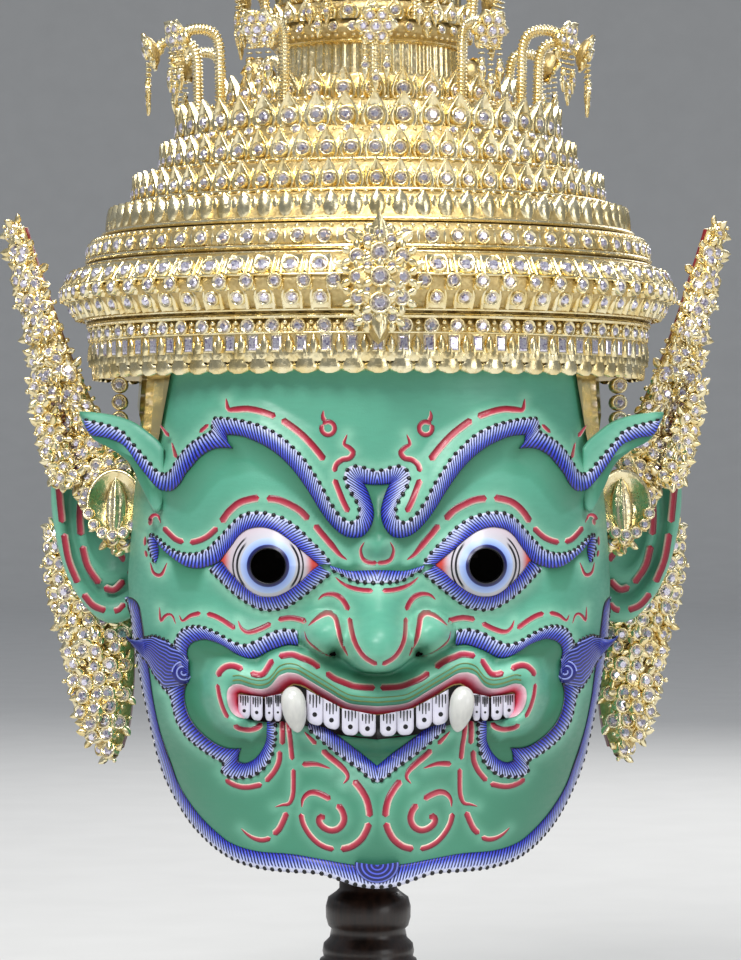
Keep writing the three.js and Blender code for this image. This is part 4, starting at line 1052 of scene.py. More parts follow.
class MASK_OT_mouth(bpy.types.Operator):
    """Lips with a gold inner line, the slot behind the teeth painted black as the mouth's shadow and outline,
    the pearl teeth and the two tusks
    """
    bl_idname = "mask.mouth"
    bl_label = "Mouth"

    def execute(self, context):
        build = Build()
        add_band(build, LIP, rounded(1.0, -0.3))
        # the slot behind the teeth: black outline and painted shadow of the mouth
        add_band(build, MOUTH_OUTLINE_AND_SHADOW, [(0, 0.2), (0.5, 0.5), (1, 0.2)], look=1)
        olive = [np.array(outer) + (0, 1.6) for _, outer in LIP[:2]]
        path = np.vstack([olive[0], olive[1][1:]])
        self.line(build, path, 0.8, 2)
        self.line(build, path + (0, 2.0), 0.5, 2)
        inner = [curve_through(section[0]) for section in LIP]
        self.line(build, np.vstack([inner[0], inner[1][1:], inner[2][1:]]), 0.8, 3, 0.9)
        build.make("lips", [lip_paint(), plain_paint("mouth_outline_and_shadow", srgb(14, 12, 16), 0.5),
                            plain_paint("olive_line", srgb(118, 140, 78), 0.4),
                            plain_paint("gold_line", srgb(226, 200, 118), 0.35)])
        self.teeth()
        self.tusks()
        return {"FINISHED"}

    def line(self, build, points, width, look, lift=0.3):
        """A thin painted line on the face."""
        path = spaced(curve_through(points), 120)
        tangent = directions(path)
        side = joined(-tangent[:, 1], tangent[:, 0]) * width / 2
        rows = []
        for share, up in [(1, -0.2), (0.6, lift), (-0.6, lift), (-1, -0.2)]:
            at = path + side * share
            rows.append(joined(at[:, 0], face_y(at[:, 0], at[:, 1]) - up, at[:, 1]))
        build.both_sides(np.array(rows), strip_faces(4, 120), look)

    # Inner and outer x, top heights, bottom heights of each pair of teeth
    PAIRS = {
        "front_teeth": (0.8, 15, 171.6, 174.4, 162.6, 163.4),
        "middle_teeth": (15.8, 29.6, 175.0, 182.0, 165.0, 168.2),
        "side_teeth": (39.6, 46.8, 180.2, 178.6, 168.6, 168.6),
        "corner_teeth": (47.6, 58.0, 178.6, 179.4, 168.4, 169.6),
    }
    TOOTH_RISE = 2.6
    GAP = 0.12

    def teeth(self):
        pearl = Paint("pearl_enamel", Base_Color=srgb(222, 220, 232), Roughness=0.22, Coat_Weight=0.5,
                      Coat_Roughness=0.08)
        pearl.mottle(srgb(232, 230, 238), srgb(204, 202, 224), 2.5, 2.0)
        ink = plain_paint("tooth_ink", srgb(12, 12, 20), 0.4)
        for name, (x0, x1, top0, top1, low0, low1) in self.PAIRS.items():
            build = Build()
            half = (x1 - x0) / 2
            for k in range(2):
                ends = (k / 2, (k + 1) / 2)
                top = [top0 + (top1 - top0) * t for t in ends]
                low = [low0 + (low1 - low0) * t for t in ends]
                self.tooth(build, x0 + half * k + self.GAP, x0 + half * (k + 1) - self.GAP, top, low)
            build.make_pair(name + "_{}_pearl", [pearl, ink], name + "_{}")

    def tooth(self, build, a, b, top, low):
        """One tooth with round lower corners, comb lines from its top and a dot in its lower half."""
        across = np.linspace(0, 1, 13)
        x = a + (b - a) * across
        bottom = low[0] + (low[1] - low[0]) * across + 1.9 * np.abs(2 * across - 1) ** 3.5
        crest = top[0] + (top[1] - top[0]) * across
        rise = self.TOOTH_RISE
        rings = []
        for up_share, lift in [(0, -0.5), (0.0, rise * 0.5), (0.05, rise * 0.85), (0.2, rise), (0.6, rise),
                               (1.0, rise * 0.7)]:
            z = bottom + (crest - bottom) * up_share
            side = rise * 0.35 * np.abs(2 * across - 1) ** 6
            rings.append(joined(x, self.gum_y(x, z) - lift + side, z))
        build.add(np.array(rings), strip_faces(len(rings), 13))
        width = b - a
        for share in (0.2, 0.4, 0.6, 0.8):
            cx = a + width * share
            start = crest[6] - 0.2
            end = start - (crest[6] - bottom[6]) * (0.42 if share in (0.4, 0.6) else 0.3)
            self.mark(build, [(cx - 0.3, start), (cx + 0.3, start), (cx + 0.2, end), (cx - 0.2, end)])
        cx, cz = a + width * 0.5, bottom[6] + (crest[6] - bottom[6]) * 0.34
        radius = width * 0.15
        self.mark(build, [(cx + radius * math.cos(t), cz + radius * math.sin(t))
                          for t in circle(12)])

    def gum_y(self, x, z):
        """The even surface that the teeth stand on."""
        return plain_y(x, z) - 5.0 - 4.0 * hill(np.abs(x) / 90.0)

    def mark(self, build, outline):
        points = np.array([(x, self.gum_y(x, z) - self.TOOTH_RISE - 0.08, z) for x, z in outline])
        build.add(points, [tuple(range(len(outline)))], look=1)

    def tusks(self):
        ivory = Paint("tusk_ivory", Base_Color=srgb(214, 214, 208), Roughness=0.25, Coat_Weight=0.4,
                      Coat_Roughness=0.1)
        ivory.mottle(srgb(224, 224, 216), srgb(192, 192, 190), 3.0, 3.0, (1.6, 1.6, 0.4))
        rows, sides = 22, 26
        turns = circle(sides)
        rings = []
        thick, fullest = 5.1, 0.36
        for t in np.sin(np.linspace(-1, 1, rows) * math.pi / 2) * 0.5 + 0.5:
            if t < fullest:
                radius_x = thick * math.sqrt(1 - (1 - t / fullest) ** 2.2) + 0.05
            else:
                radius_x = thick * (1 - ((t - fullest) / (1 - fullest)) ** 2.3) ** 0.6 + 0.05
            cx = 35.4 - 2.2 * t ** 1.6
            cz = 183.4 - 19.2 * t
            cy = self.gum_y(35.3, 174.0) - 3.6 - 2.6 * math.sin(math.pi * min(1, t + 0.12))
            rings.append(joined(cx + radius_x * np.cos(turns), cy + radius_x * 0.8 * np.sin(turns), cz))
        caps = [tuple(range(sides)), tuple(range(rows * sides - sides, rows * sides))[::-1]]
        build = Build()
        build.add(np.array(rings), turned_over(strip_faces(rows, sides, True)) + caps)
        build.make_pair("tusk_{}_ivory", [ivory], "tusk_{}")


class MASK_OT_eyes(bpy.types.Operator):
    """Painted eyeballs round pierced pupils"""
    bl_idname = "mask.eyes"
    bl_label = "Eyes"
    SIDES = 160

    def execute(self, context):
        cx, cz = EYE
        lid = np.vstack([curve_through(EYE_BAND[1][1]), curve_through(LOWER_LID_BAND[0][1])[::-1]])
        turns = circle(self.SIDES)
        lid_turn = np.arctan2(lid[:, 1] - cz, lid[:, 0] - cx)
        lid_reach = np.hypot(lid[:, 0] - cx, lid[:, 1] - cz)
        order = np.argsort(lid_turn)
        reach = np.interp(turns, np.r_[lid_turn[order], lid_turn[order] + 2 * math.pi],
                          np.r_[lid_reach[order], lid_reach[order]]) + 0.9
        rings = [(np.full(self.SIDES, radius), np.full(self.SIDES, depth))
                 for radius, depth in [(6.9, 9.0), (7.0, 1.2), (7.15, 0.3)]]
        for share in np.linspace(0, 1, 26):
            radius = IRIS_EDGE + (reach - IRIS_EDGE) * share
            rings.append((radius, -2.4 * (1 - (radius / (reach + 1)) ** 2) + 0.3 * share))
        points, maps = [], []
        for radius, depth in rings:
            x = cx + radius * np.cos(turns)
            z = cz + radius * np.sin(turns)
            points.append(joined(x, face_y(x, z) + depth, z))
            maps.append(joined(radius, np.abs(x - cx)))
        build = Build()
        faces = turned_over(strip_faces(len(rings), self.SIDES, True))
        build.both_sides(np.array(points), faces, band=np.array(maps))
        build.make("eyes", [self.paint()])
        return {"FINISHED"}

    def paint(self):
        paint = Paint("eye_enamel", Roughness=0.34, Coat_Weight=0.12, Coat_Roughness=0.2)
        radius, side = paint.map("band")
        colour = paint.ramp(radius / 24.0, [
            (0.305, srgb(3, 3, 6)), (0.32, srgb(12, 14, 62)), (0.362, srgb(20, 24, 98)),
            (0.375, srgb(140, 166, 232)),
            (0.468, srgb(184, 204, 246)), (0.49, srgb(200, 200, 208)), (0.75, srgb(216, 196, 204))])
        thin = paint.step(0.55 - abs(radius - 12.9), 0, 0.2) + paint.step(0.45 - abs(radius - 14.6), 0, 0.2)
        colour = paint.mix(thin * paint.step(side, 8.5, 10.5), colour, srgb(16, 14, 22))
        colour = paint.mix(paint.step(side, 15.2, 19.0), colour, srgb(214, 70, 60))
        return paint.set(Base_Color=colour)


def turned(profile, count, wave=None):
    """A turned form about +Z: its profile is a list of radius and height, from below upwards."""
    profile = np.asarray(profile, float)
    turns = circle(count)
    radius = profile[:, :1]
    if wave:
        ribs, depth = wave
        radius = radius - depth * np.abs(np.sin(turns * ribs / 2))
    points = joined(radius * np.cos(turns), radius * np.sin(turns), profile[:, 1:])
    return points, strip_faces(len(profile), count, True)


class Form:
    """A small ornament to be copied: x goes across, y up and z outwards, in millimetres."""

    def __init__(self, points, faces, look=0, smooth=True):
        self.points = np.asarray(points, float).reshape(-1, 3)
        self.faces, self.look, self.smooth = faces, look, smooth

    def upside_down(self):
        return Form(self.points * (-1, -1, 1), self.faces, self.look, self.smooth)


def cut_stone(half_width, half_height, rise, sides, table=0.52):
    """A faceted stone with a flat table."""
    turns = (np.arange(sides) + 0.5) / sides * 2 * math.pi
    later = turns + math.pi / sides
    scale = 1 / math.cos(math.pi / sides)
    girdle = joined(half_width * np.cos(turns), half_height * np.sin(turns), np.zeros(sides))
    top = joined(half_width * table * np.cos(later), half_height * table * np.sin(later),
                 np.full(sides, rise))
    if sides == 4:
        girdle[:, :2] *= scale
        top = girdle * (table + 0.2, table + 0.2, 1) + (0, 0, rise)
        faces = [(i, (i + 1) % 4, (i + 1) % 4 + 4, i + 4) for i in range(4)]
    else:
        faces = [(i, (i + 1) % sides, sides + i) for i in range(sides)]
        faces += [((i + 1) % sides, sides + (i + 1) % sides, sides + i) for i in range(sides)]
    faces.append(tuple(range(sides, 2 * sides)))
    return Form(np.vstack([girdle, top]), faces, 1, False)


def round_form(profile, sides=10, look=0):
    """A form turned about the outward axis, its profile going from the rim outwards and inwards."""
    points, faces = turned(profile, sides)
    count = len(profile) * sides
    return Form(points, faces + [tuple(range(count - sides, count))], look)


EGG = [(0, 0.5), (0.15, 0.84), (0.4, 1), (0.65, 0.88), (0.85, 0.55), (1, 0.06)]
POINTED = [(0, 0.7), (0.15, 0.96), (0.35, 1), (0.55, 0.8), (0.75, 0.45), (0.9, 0.18), (1, 0.03)]
FLAME = [(0, 0.5), (0.14, 0.95), (0.26, 0.7), (0.4, 1), (0.52, 0.62), (0.66, 0.72), (0.8, 0.34), (1, 0.03)]
FULL = [(-1, -0.6), (-0.92, 0.15), (-0.6, 0.7), (0, 1), (0.6, 0.7), (0.92, 0.15), (1, -0.6)]
RIMMED = [(-1, -0.6), (-0.96, 0.8), (-0.78, 1), (-0.62, 0.3), (0, 0.35), (0.62, 0.3), (0.78, 1), (0.96, 0.8),
          (1, -0.6)]
RIBBED = [(-1, -0.6), (-0.92, 0.4), (-0.5, 0.5), (-0.18, 0.55), (0, 1.2), (0.18, 0.55), (0.5, 0.5),
          (0.92, 0.4),
          (1, -0.6)]
PETAL_ROWS = 7


def petal(width, height, rise, outline=EGG, section=FULL, curl=0.0):
    """A petal standing up from its foot, with its tip curled outwards by curl millimetres."""
    t = np.linspace(0, 1, PETAL_ROWS)[:, None]
    s = np.array([a for a, _ in section])
    z = np.array([b for _, b in section])
    half = between(outline, t) * width / 2
    fall = 1 - 0.5 * t ** 3
    points = joined(half * s, t * height, rise * z * fall + curl * t ** 2)
    return Form(points, strip_faces(PETAL_ROWS, len(s)))


DOT = round_form([(1.0, -0.6), (1.0, 0.06), (0.82, 0.3), (0.4, 0.46)], 10, 3)
BEAD = round_form([(0.5, -0.6), (0.95, -0.1), (1.0, 0.25), (0.75, 0.75), (0.25, 1.0)], 8)
BEZEL = round_form([(1.45, -0.9), (1.42, 0.1), (1.28, 0.42), (1.08, 0.36), (0.98, 0.0)], 10)
STONE = cut_stone(1.0, 1.0, 0.55, 8)
MIRROR = cut_stone(2.0, 3.0, 0.5, 4)
MIRROR_FRAME = Form([(x * w, y * h, z) for w, h, z in ((2.7, 3.8, -1.0), (2.6, 3.7, 0.5), (2.1, 3.1, 0.6),
                                                       (2.0, 3.0, 0.0))
                     for x, y in ((-1, -1), (1, -1), (1, 1), (-1, 1))], strip_faces(4, 4, True), 0, False)
RING = turned([(0.75, 0), (1.0, 0.3), (1.25, 0), (1.0, -0.3), (0.75, 0)], 6)
LINK = Form(RING[0].reshape(-1, 3)[:, [0, 2, 1]], turned_over(RING[1]))
FACING = (np.array([1.0, 0, 0]), np.array([0, 0, 1.0]), np.array([0, -1.0, 0]))  # ornaments that look ahead


def copies(build, form, at, across, up, out, size=1.0):
    """Adds a copy of a form at each place, turned to its directions."""
    at, across, up, out = (np.atleast_2d(np.asarray(v, float)) for v in (at, across, up, out))
    size = np.broadcast_to(np.asarray(size, float).reshape(-1, 1, 1), (len(at), 1, 1))
    ways = (across, up, out)
    placed = at[:, None] + size * sum(form.points[:, k:k + 1] * ways[k][:, None] for k in range(3))
    step = len(form.points)
    faces = [[i + k * step for i in face] for k in range(len(at)) for face in form.faces]
    build.add(placed, faces, form.look, form.smooth)


def set_stone(build, at, across, up, out, size, proud=0.1):
    """A round stone in its gold cup."""
    copies(build, BEZEL, at, across, up, out, size)
    copies(build, STONE, at + out * proud, across, up, out, size)


def ring_places(radius, height, count, turn=0.0, tilt=0.0, gap=0.0):
    """Places round the crown with their directions; a positive tilt turns them to look up."""
    angle = (np.arange(count) + turn) / count * 2 * math.pi - math.pi / 2
    away = np.abs((angle + math.pi / 2 + math.pi) % (2 * math.pi) - math.pi)
    angle = angle[away >= gap]
    radial = joined(np.cos(angle), np.sin(angle), np.zeros_like(angle))
    across = joined(-np.sin(angle), np.cos(angle), np.zeros_like(angle))
    rise = np.array([0, 0, 1.0])
    return (radial * radius + rise * height, across, rise * math.cos(tilt) - radial * math.sin(tilt),
            radial * math.cos(tilt) + rise * math.sin(tilt))


def row(build, form, radius, height, count, size, *place):
    copies(build, form, *ring_places(radius, height, count, *place), size)


def hoop(build, radius, height, thick, count=160):
    """A plain round wire about the crown."""
    turns = np.linspace(0, 2 * math.pi, 9)
    profile = [(radius + thick * math.cos(a), height + thick * math.sin(a)) for a in turns]
    build.add(*turned(profile, count))


def ornaments(build, rows, hoops, base=0.0, sides=160):
    """Lays rows of forms or of set stones, and plain wires, about the crown."""
    for what, radius, height, count, *place in rows:
        height += base
        if isinstance(what, Form):
            row(build, what, radius, height, count, 1.0, *place)
        elif isinstance(what, tuple):
            row(build, what[0], radius, height, count, what[1], *place)
        else:
            row(build, BEZEL, radius, height, count, what, *place)
            row(build, STONE, radius + 0.1, height, count, what, *place)
    for radius, height, thick in hoops:
        hoop(build, radius, base + height, thick, sides)


def gold_paints():
    gold = Paint("gilt", Metallic=1.0, Roughness=0.22)
    cloud = gold.noise(2.4, 4.0)
    broad = gold.noise(14.0, 2.0)
    tone = gold.mix(gold.step(broad, 0.35, 0.7), srgb(253, 241, 200), srgb(242, 220, 158))
    gold.set(Base_Color=gold.mix(gold.step(cloud, 0.5, 0.8) * 0.5, tone, srgb(198, 160, 84)),
             Roughness=0.17 + gold.step(cloud, 0.3, 0.8) * 0.2)
    gold.bump(cloud, 0.25)
    stone = Paint("clear_stone", Metallic=0.75, Roughness=0.06, Coat_Weight=0.6, Coat_Roughness=0.03)
    # the clear stone's colour is patched white and lavender by a noise, as painted glints
    spark = stone.noise(1.3, 1.0)
    stone.set(Base_Color=stone.ramp(spark, [
        (0.30, srgb(150, 138, 172)), (0.42, srgb(222, 216, 236)), (0.52, srgb(252, 250, 254)),
        (0.60, srgb(192, 182, 214)), (0.70, srgb(244, 240, 250))]))
    # the ground behind the ornaments: a darker, rougher gold whose darkness is painted shade among the
    # ornaments, mottled by a noise
    shaded_ground = Paint("shaded_gilt_ground", Metallic=0.9, Roughness=0.42)
    shaded_ground.bump(shaded_ground.mottle(srgb(238, 218, 160), srgb(166, 134, 76), 1.8, 4.0), 0.4)
    red = Paint("red_lacquer", Roughness=0.35)
    red.mottle(srgb(150, 30, 30), srgb(110, 18, 22), 5.0, 3.0)
    polished = Paint("polished_gilt", Metallic=1.0, Roughness=0.16)
    polished.mottle(srgb(250, 236, 176), srgb(236, 216, 146), 30.0, 1.0)
    return [gold, stone, shaded_ground, red, polished]


CROWN = 315.0  # height of the crown's lower edge
GAP = 0.115  # half the angle that the front emblem covers
SCALLOP = [(0, 0.8), (0.5, 1), (0.8, 0.86), (0.94, 0.6), (1, 0.3)]
PLATE = [(0, 0.92), (0.5, 1), (0.8, 0.95), (1, 0.4)]
BROAD = [(0, 0.96), (0.5, 1), (0.9, 0.96), (1, 0.8)]
STUB = [(0, 0.9), (0.5, 1), (1, 0.6)]

# Rows about the crown: a form, a form with its size, or the size of set stones. Then come radius, height,
# count, the part of a place that the row is turned by, its tilt and its gap at the front.
# Hoops: radius, height, thickness
BAND_PROFILE = [(95, 0), (120, -0.2), (121.5, 2), (123, 6), (123.4, 12), (124, 14.5), (123.6, 19),
                (122, 20.5),
                (122, 24), (125, 25), (130, 27), (133.2, 31), (135.2, 35), (134.6, 39), (132, 44),
                (127, 48.5),
                (124.3, 50), (124.3, 52), (125.5, 53), (124.5, 58), (122, 61), (117, 61.5), (95, 61.5),
                (95, 0)]
BAND_ROWS = [
    (petal(11.2, 7.5, 2.4, EGG, RIBBED), 122.4, 4.4, 76),
    (petal(9.6, 6.6, 2.2, curl=1.4), 121.4, 3.4, 76, 0.5),
    (petal(11.6, 6.2, 2.2, SCALLOP, curl=0.6).upside_down(), 121.6, 4.6, 76),
    (MIRROR_FRAME, 123.8, 11, 73),
    (MIRROR, 124.2, 11, 73),
    (petal(4.4, 7.6, 1.8), 123.8, 7, 73, 0.5),
    (2.55, 124.2, 18.2, 70),
    ((BEAD, 1.25), 124.0, 19.6, 70, 0.5),
    ((BEAD, 1.25), 124.0, 16.9, 70, 0.5),
    (petal(9.6, 9.6, 1.6, PLATE, RIMMED), 129.6, 25.4, 69, 0, -0.42, GAP),
    (2.5, 132.6, 29.6, 69, 0, -0.42, GAP),
    (petal(7.2, 7.0, 2.0, POINTED, RIMMED, 0.8), 134.4, 32.4, 69, 0.5, 0, GAP),
    (2.45, 137.0, 36.2, 69, 0.5, 0, GAP),
    (petal(10.6, 9.8, 1.7, BROAD, RIMMED), 134.6, 38.8, 69, 0, 0.55, GAP),
    (2.95, 134.0, 43.0, 69, 0, 0.5, GAP),
    (petal(3.4, 8.0, 1.6), 134.0, 39.6, 69, 0.5, 0.55, GAP),
    (petal(7.6, 6.4, 1.3, STUB, RIMMED), 124.2, 52.4, 70, 0, 0.12),
    (2.5, 125.0, 55.4, 70, 0, 0.12),
    (petal(4.2, 6.0, 1.4), 124.2, 52.6, 70, 0.5, 0.12),
    ((BEAD, 1.1), 123.2, 59.6, 160, 0, 0.5),
]
BAND_HOOPS = [(124.2, 15.4, 0.7), (125.2, 22.2, 1.2), (126.2, 24.9, 0.8), (135.6, 39.0, 0.7),
              (126.6, 48.6, 0.7),
              (125.8, 51.0, 1.1)]
TIER_PROFILE = [
    (112, 376.6), (118.6, 377.2), (119, 378.6), (116.6, 379.6), (114.5, 388), (111.5, 389.6), (108.5, 390),
    (106.8, 391.4), (103.6, 392.4), (101.5, 402.5), (98, 403.6), (94.6, 404.2), (94.4, 405.4), (91, 406.4),
    (89, 416.8), (87, 418), (86.6, 419.4), (83.6, 420.4), (81.5, 430.6), (78, 432), (66, 432.6), (64, 433.4),
    (64, 443.6), (61.4, 443.6), (61, 433.8), (30, 433.6)]
TIER_ROWS = [
    (petal(9.4, 11.4, 3.0), 114.6, 378.6, 75),
    (petal(6.4, 9.4, 1.2), 114.6, 378.6, 75, 0.5),
    ((BEAD, 1.1), 111.4, 389.8, 150, 0, 0.9),
    (petal(10.2, 13.2, 2.2, POINTED, RIMMED, 1.2), 103.4, 391.2, 66),
    (2.35, 105.2, 395.8, 66),
    (petal(7.0, 9.8, 1.2, POINTED, RIBBED), 102.8, 391.4, 66, 0.5),
    ((BEAD, 1.05), 98.6, 404.2, 130, 0, 0.9),
    (petal(10.6, 13.4, 2.3, POINTED, RIMMED, 1.4), 91.0, 405.2, 56),
    (2.45, 92.8, 409.8, 56),
    (petal(7.2, 10.2, 1.2, POINTED, RIBBED), 90.4, 405.4, 56, 0.5),
    (1.8, 87.6, 418.4, 48, 0, 0.5),
    ((BEAD, 0.9), 87.4, 418.0, 48, 0.5, 0.5),
    (petal(12.8, 15.4, 2.6, POINTED, RIMMED, 2.2), 83.4, 419.2, 43),
    (2.9, 85.4, 424.6, 43),
    (petal(8.4, 11.4, 1.4, POINTED, RIBBED), 82.8, 419.4, 43, 0.5),
    ((BEAD, 1.1), 79.6, 432.2, 100, 0, 1.2),
    (1.7, 73.0, 433.0, 40, 0, 1.3),
    (petal(11.8, 14.4, 2.4, POINTED, RIMMED, 1.8), 64.0, 432.8, 32),
    (2.8, 66.2, 437.6, 32),
    (petal(8.4, 11.6, 1.4, POINTED, RIBBED), 63.8, 432.8, 32, 0.5),
]
TIER_HOOPS = [(118.6, 377.8, 1.0), (108.4, 391.0, 0.8), (95.2, 404.8, 0.8)]
DRUM_ROWS = [
    (petal(12.6, 9.6, 2.0, POINTED, RIMMED, 2.4), 46.6, 438.0, 26, 0, 0.7),
    (1.9, 50.4, 439.6, 26, 0, 0.7),
    ((BEAD, 1.2), 43.2, 463.8, 70),
    (1.7, 46.2, 467.0, 34),
    (petal(9.6, 9.0, 2.0, POINTED, RIMMED, 1.6), 44.2, 470.6, 28),
    (1.9, 46.2, 474.0, 28),
]
DRUM_HOOPS = [(41.6, 446.2, 1.1), (41.4, 461.6, 1.1)]
SPIRE_PROFILE = [
    (20, 479.4), (39.5, 479.6), (39.8, 486), (36, 499), (27, 500.2), (26.4, 511), (30.4, 514.6),
    (31.2, 519.6),
    (25.4, 524), (26.4, 526), (23.4, 539), (19, 541), (19.6, 549), (15.4, 571), (10.4, 588), (12.6, 591),
    (12.8, 596), (8.4, 599.6), (10.6, 604), (7.6, 610), (5.2, 640), (3.4, 672), (4.6, 681), (3.4, 690),
    (0.6, 699.6)]
SPIRE_ROWS = [
    (petal(11.0, 21, 2.4, POINTED, RIMMED, 2.0), 39.0, 479.8, 22),
    (2.2, 41.2, 487.0, 22),
    (petal(7.0, 13, 1.6, POINTED), 38.0, 479.8, 22, 0.5),
    (petal(4.2, 9, 1.4), 26.4, 501.6, 40),
    (2.0, 31.4, 517.0, 24),
    (petal(8.2, 14.4, 2.0, POINTED, RIMMED, 1.6), 25.6, 525.0, 20),
    (1.8, 27.2, 530.0, 20),
    (petal(6.6, 26, 1.6, POINTED), 18.2, 542.0, 18, 0, 0.1),
    (petal(4.6, 20, 1.4, POINTED), 15.0, 560.0, 16, 0, 0.18),
    (1.5, 13.2, 593.6, 14),
    ((BEAD, 1.4), 9.6, 602.6, 16),
]
SPIRE_HOOPS = [(27.6, 500.6, 1.2), (27.4, 511.4, 1.1), (25.6, 524.2, 1.1), (20.0, 540.6, 1.1),
               (13.2, 590.6, 1.0),
               (9.4, 599.8, 0.9), (8.0, 610.2, 0.8)]


class MASK_OT_crown_band(bpy.types.Operator):
    """The broad jewelled band round the head"""
    bl_idname = "mask.crown_band"
    bl_label = "Crown band"

    def execute(self, context):
        build = Build()
        build.add(*turned([(r, h + CROWN) for r, h in BAND_PROFILE], 220), look=2)
        ornaments(build, BAND_ROWS, BAND_HOOPS, CROWN)
        build.make("crown_band_jewels", gold_paints(), ["crown_band"])
        self.emblem()
        return {"FINISHED"}

    def emblem(self):
        """The cluster of blooms over the forehead."""
        build = Build()
        plate = [(0, -140.6, 325), (3.2, -137, 328), (5.2, -139, 334), (9.4, -142, 340), (12.4, -143, 348),
                 (12.4, -143, 356),
                 (8.6, -141, 364), (4.4, -138, 370), (0, -137, 373)]
        half = curve_through(plate)
        edge = np.vstack([half, half[-2:0:-1] * MIRRORED])
        middle = np.array([[0, -146.5, 346.0]])
        inner = middle + (edge - middle) * 0.6 + (0, -1.5, 0)
        back = edge * (0.9, 0, 1) + (0, -126, 0)
        rings = np.stack(np.broadcast_arrays(back, edge, inner, middle))
        build.add(rings, strip_faces(4, len(edge), True), look=2)
        small = petal(3.8, 4.2, 1.2)
        stones = [(0, 362, 3.1), (0, 352, 3.2), (0, 341.4, 3.4), (9.2, 360.4, 2.6), (9.4, 352, 2.6),
                  (9.0, 343.6, 2.6),
                  (0, 370.4, 2.1), (4.8, 367.4, 1.9), (5.0, 335.6, 1.9), (4.9, 356.8, 1.5), (4.9, 347, 1.5)]
        for x, z, size in stones:
            for side in ((1,) if x == 0 else (1, -1)):
                y = -147.0 + 0.012 * (z - 350) ** 2 + abs(x) * 0.28
                at = np.array([x * side, y, z])
                set_stone(build, at, *FACING, size)
                for k in range(6):
                    a = k / 6 * 2 * math.pi + 0.5
                    up = np.array([math.cos(a), 0, math.sin(a)])
                    across = np.array([math.sin(a), 0, -math.cos(a)])
                    foot = at + up * size * 1.15 + (0, 0.6, 0)
                    copies(build, small, foot, across, up, FACING[2])
        hanging = petal(7.0, 10, 2.0, POINTED, RIBBED, 1.0).upside_down()
        copies(build, hanging, (0, -143.4, 336.5), *FACING)
        for side in (-1, 1):
            for x, z, lean in ((6.4, 335, -0.5), (11, 346, 0.6), (11.6, 356, 0.9), (7.6, 366, 0.5)):
                up = np.array([math.sin(lean + 0.4) * side, 0, math.cos(lean + 0.4)])
                across = np.array([up[2], 0, -up[0]])
                foot = (x * side, -143.4 + x * 0.25, z)
                copies(build, petal(5, 8, 1.4, FLAME, RIBBED, 1.2), foot, across, up, FACING[2])
        copies(build, petal(9, 13, 1.8, POINTED, RIBBED, 1.4), (0, -141.4, 366), *FACING)
        build.make("crown_emblem_jewels", gold_paints(), ["crown_front_emblem"])


class MASK_OT_crown_tiers(bpy.types.Operator):
    """The stepped rows of petals above the band"""
    bl_idname = "mask.crown_tiers"
    bl_label = "Crown tiers"

    def execute(self, context):
        build = Build()
        build.add(*turned(TIER_PROFILE, 200), look=2)
        build.add(*turned([(30, 433.6), (0.5, 433.6)], 24), look=2)
        ornaments(build, TIER_ROWS, TIER_HOOPS)
        build.make("crown_tier_petals", gold_paints(), ["crown_tiers"])
        return {"FINISHED"}


class MASK_OT_crown_top(bpy.types.Operator):
    """The ribbed drum with its collar, and the spire"""
    bl_idname = "mask.crown_top"
    bl_label = "Crown top"

    def execute(self, context):
        build = Build()
        build.add(*turned([(20, 433.4), (52.6, 433.6), (52.4, 438), (48, 441), (42, 444), (41, 446.4)], 120),
                  look=2)
        build.add(*turned([(40.6, 446.4), (40.2, 461.4)], 360, (60, 1.3)))
        build.add(*turned([(41, 461.2), (42.6, 462.6), (46.4, 466.6), (44.4, 469.4), (42.6, 470.6),
                           (45.2, 474.4),
                           (44, 478.4), (30, 479.3)], 120), look=2)
        ornaments(build, DRUM_ROWS, DRUM_HOOPS, sides=90)
        build.make("crown_drum_jewels", gold_paints(), ["crown_drum"])
        build = Build()
        build.add(*turned(curve_through(SPIRE_PROFILE), 72))
        ornaments(build, SPIRE_ROWS, SPIRE_HOOPS, sides=72)
        build.make("crown_spire_jewels", gold_paints(), ["crown_spire"])
        return {"FINISHED"}


